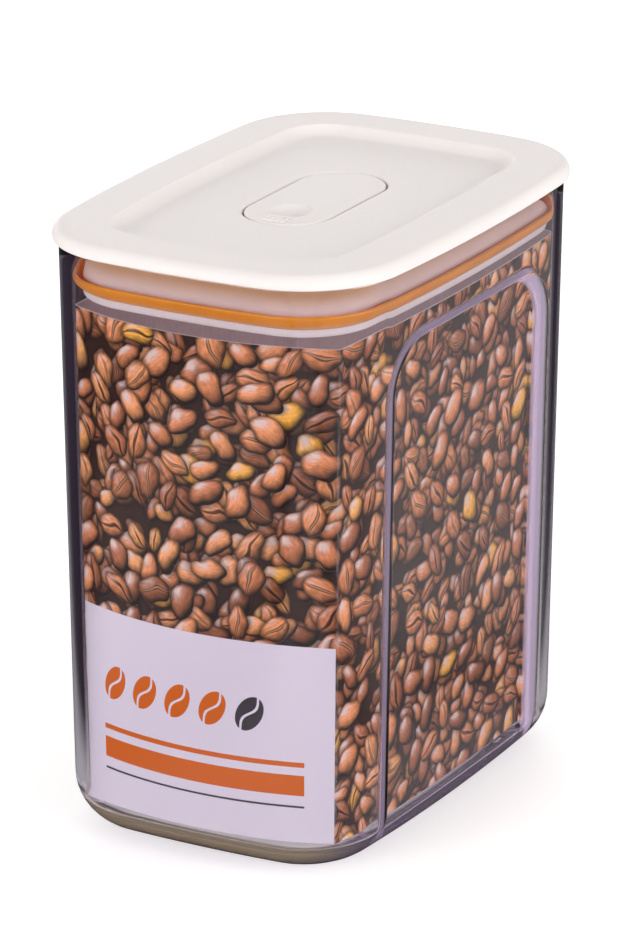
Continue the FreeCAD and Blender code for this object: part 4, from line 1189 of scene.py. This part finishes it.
def build_floor(stage):
    """Pale floor that is white to the camera and mostly dark to what the clear plastic bends."""
    half = stage.floor / 2
    corners = [(-half, -half, 0.0), (half, -half, 0.0), (half, half, 0.0), (-half, half, 0.0)]
    floor = mesh_object("floor", corners, [(0, 1, 2, 3)], smooth=False)
    material, graph, surface = new_material("pale_floor")
    path = graph.add("ShaderNodeLightPath")
    pale = (0.88, 0.88, 0.88, 1.0)
    in_mirror = (0.05, 0.045, 0.05, 1.0)
    through_wall = (0.030, 0.016, 0.034, 1.0)
    tone = graph.mix(path.outputs["Is Glossy Ray"], pale, in_mirror)
    tone = graph.mix(path.outputs["Is Transmission Ray"], tone, through_wall)
    graph.feed(surface.inputs["Base Color"], tone)
    surface.inputs["Roughness"].default_value = 0.9
    surface.inputs["Specular IOR Level"].default_value = 0.1
    glow = graph.add("ShaderNodeEmission", Color=WHITE)
    sideways = (math.cos(stage.azimuth), math.sin(stage.azimuth), 0.0)
    ahead = (-math.sin(stage.azimuth), math.cos(stage.azimuth), 0.0)
    place = object_coordinates(graph)
    # White far off, and no more than pale near the object, where it keeps the shadow
    near_glow, far_glow = 0.42, 1.0
    far_white = graph.ease(graph.vector("LENGTH", place), 0.30, 1.50, near_glow, far_glow)
    direct = graph.math("MULTIPLY", path.outputs["Is Camera Ray"], far_white)
    right = graph.vector("DOT_PRODUCT", place, sideways)
    left = graph.math("MULTIPLY", right, -1.0)
    far = graph.vector("DOT_PRODUCT", place, ahead)
    # What the clear walls show of the floor that lies straight behind them
    behind_glow = 0.72
    behind = graph.ease(graph.math("ABSOLUTE", right), 0.055, 0.11, behind_glow, 0.0)
    through = graph.math("MULTIPLY", path.outputs["Is Transmission Ray"], behind)
    # Pale cards to the right and the left, which the flat walls mirror and the corners don't
    right_glow, left_glow = 0.30, 0.22
    right_card = graph.math("MULTIPLY", graph.ease(right, 0.07, 0.16, 0.0, right_glow),
                            graph.ease(graph.math("SUBTRACT", right, far), 0.0, 0.06))
    left_card = graph.math("MULTIPLY", graph.ease(left, 0.10, 0.17, 0.0, left_glow),
                           graph.ease(left, 0.25, 0.33, 1.0, 0.0))
    left_card = graph.math("MULTIPLY", left_card, graph.ease(far, -0.10, 0.0, 1.0, 0.0))
    cards = graph.math("ADD", right_card, left_card)
    mirrored = graph.math("MULTIPLY", path.outputs["Is Glossy Ray"], cards)
    bright = graph.math("MAXIMUM", direct, graph.math("MAXIMUM", through, mirrored))
    graph.feed(glow.inputs["Strength"], bright)
    both = graph.add("ShaderNodeAddShader")
    graph.feed(both.inputs[0], surface.outputs[0])
    graph.feed(both.inputs[1], glow.outputs[0])
    graph.feed(output_of(material).inputs["Surface"], both.outputs[0])
    floor.data.materials.append(material)


def soft_box(name, place, aim, width, height, power):
    """A large soft lamp that faces a point."""
    data = bpy.data.lights.new(name, "AREA")
    data.shape = "RECTANGLE"
    data.size = width
    data.size_y = height
    data.energy = power
    lamp = bpy.data.objects.new(name, data)
    lamp.location = place
    lamp.rotation_euler = (Vector(aim) - Vector(place)).to_track_quat("-Z", "Y").to_euler()
    bpy.context.scene.collection.objects.link(lamp)


def build_camera(stage):
    out = Vector((math.sin(stage.azimuth) * math.cos(stage.elevation),
                  -math.cos(stage.azimuth) * math.cos(stage.elevation), math.sin(stage.elevation)))
    right = Vector((math.cos(stage.azimuth), math.sin(stage.azimuth), 0.0))
    aim = Vector((0.0, 0.0, stage.aim_height)) + right * stage.aim_side
    data = bpy.data.cameras.new("camera")
    data.lens = stage.lens
    data.sensor_width = 36.0
    data.clip_start = 0.05
    camera = bpy.data.objects.new("camera", data)
    camera.location = aim + out * stage.distance
    camera.rotation_euler = (-out).to_track_quat("-Z", "Y").to_euler()
    bpy.context.scene.collection.objects.link(camera)
    bpy.context.scene.camera = camera


def build_stage(looks):
    scene = bpy.context.scene
    scene.view_settings.view_transform = "Standard"
    build_world(looks.stage)
    build_floor(looks.stage)
    middle = (0.0, 0.0, 0.07)
    above = (0.0, 0.0, 1.0)
    # Place, aim, width and height in metres and power in watts of each lamp.
    # The one inside stands in for the light that the card lets through.
    lamps = {
        "key": ((-0.35, -1.35, 0.55), middle, 1.0, 0.8, 12.2),
        "fill": ((1.30, 0.15, 0.45), middle, 0.8, 0.8, 10.8),
        "top": ((-0.25, 0.55, 1.15), middle, 0.7, 0.7, 2.6),
        "back": ((-0.85, 1.15, 0.22), middle, 0.8, 0.4, 5.0),
        "inside": ((0.0, 0.0, CARD_LOW.z + 0.03), above, 0.05, 0.09, 0.03),
    }
    for name, sizes in lamps.items():
        soft_box(name, *sizes)
    build_camera(looks.stage)


# Operators and panel

class CANISTER_OT_clear_body(bpy.types.Operator):
    """Build the clear body with its grip recesses"""
    bl_idname = "canister.clear_body"
    bl_label = "Clear body"

    def execute(self, context):
        build_clear_body(context.scene.canister)
        return {"FINISHED"}


class CANISTER_OT_card(bpy.types.Operator):
    """Build the printed sleeve"""
    bl_idname = "canister.card"
    bl_label = "Printed sleeve"

    def execute(self, context):
        build_card(context.scene.canister)
        return {"FINISHED"}


class CANISTER_OT_lid(bpy.types.Operator):
    """Finish the lid, its plug, its flap and the stopper"""
    bl_idname = "canister.lid"
    bl_label = "Lid"

    def execute(self, context):
        build_lid(context.scene.canister)
        return {"FINISHED"}


class CANISTER_OT_seal(bpy.types.Operator):
    """Sweep the silicone seal round the plug"""
    bl_idname = "canister.seal"
    bl_label = "Seal"

    def execute(self, context):
        build_seal(context.scene.canister)
        return {"FINISHED"}


class CANISTER_OT_ridges(bpy.types.Operator):
    """Lay the grip ridges on the vent flap"""
    bl_idname = "canister.ridges"
    bl_label = "Flap ridges"

    def execute(self, context):
        build_ridges(context.scene.canister)
        return {"FINISHED"}


class CANISTER_OT_stage(bpy.types.Operator):
    """Set the floor, the lamps and the camera"""
    bl_idname = "canister.stage"
    bl_label = "Stage"

    def execute(self, context):
        build_stage(context.scene.canister)
        return {"FINISHED"}


OPERATORS = (CANISTER_OT_clear_body, CANISTER_OT_card, CANISTER_OT_lid, CANISTER_OT_seal,
             CANISTER_OT_ridges, CANISTER_OT_stage)


class CANISTER_PT_looks(bpy.types.Panel):
    """Sizes, colours and building steps of the canister"""
    bl_idname = "CANISTER_PT_looks"
    bl_label = "Canister"
    bl_space_type = "VIEW_3D"
    bl_region_type = "UI"
    bl_category = "Canister"

    def draw(self, context):
        looks = context.scene.canister
        for operator in OPERATORS:
            self.layout.operator(operator.bl_idname)
        for group in (looks.body, looks.card, looks.lid, looks.finish, looks.stage):
            box = self.layout.box()
            for name in group.__annotations__:
                box.prop(group, name)


GROUPS = (CanisterBodySizes, CanisterCardSizes, CanisterLidSizes, CanisterFinish, CanisterStage,
          CanisterLooks)
CLASSES = GROUPS + OPERATORS + (CANISTER_PT_looks,)


def register():
    for item in CLASSES:
        bpy.utils.register_class(item)
    bpy.types.Scene.canister = PointerProperty(type=CanisterLooks)


def unregister():
    del bpy.types.Scene.canister
    for item in reversed(CLASSES):
        bpy.utils.unregister_class(item)


def main():
    register()
    bpy.ops.canister.clear_body()
    bpy.ops.canister.card()
    bpy.ops.canister.lid()
    bpy.ops.canister.seal()
    bpy.ops.canister.ridges()
    bpy.ops.canister.stage()


if __name__ == "__main__":
    main()
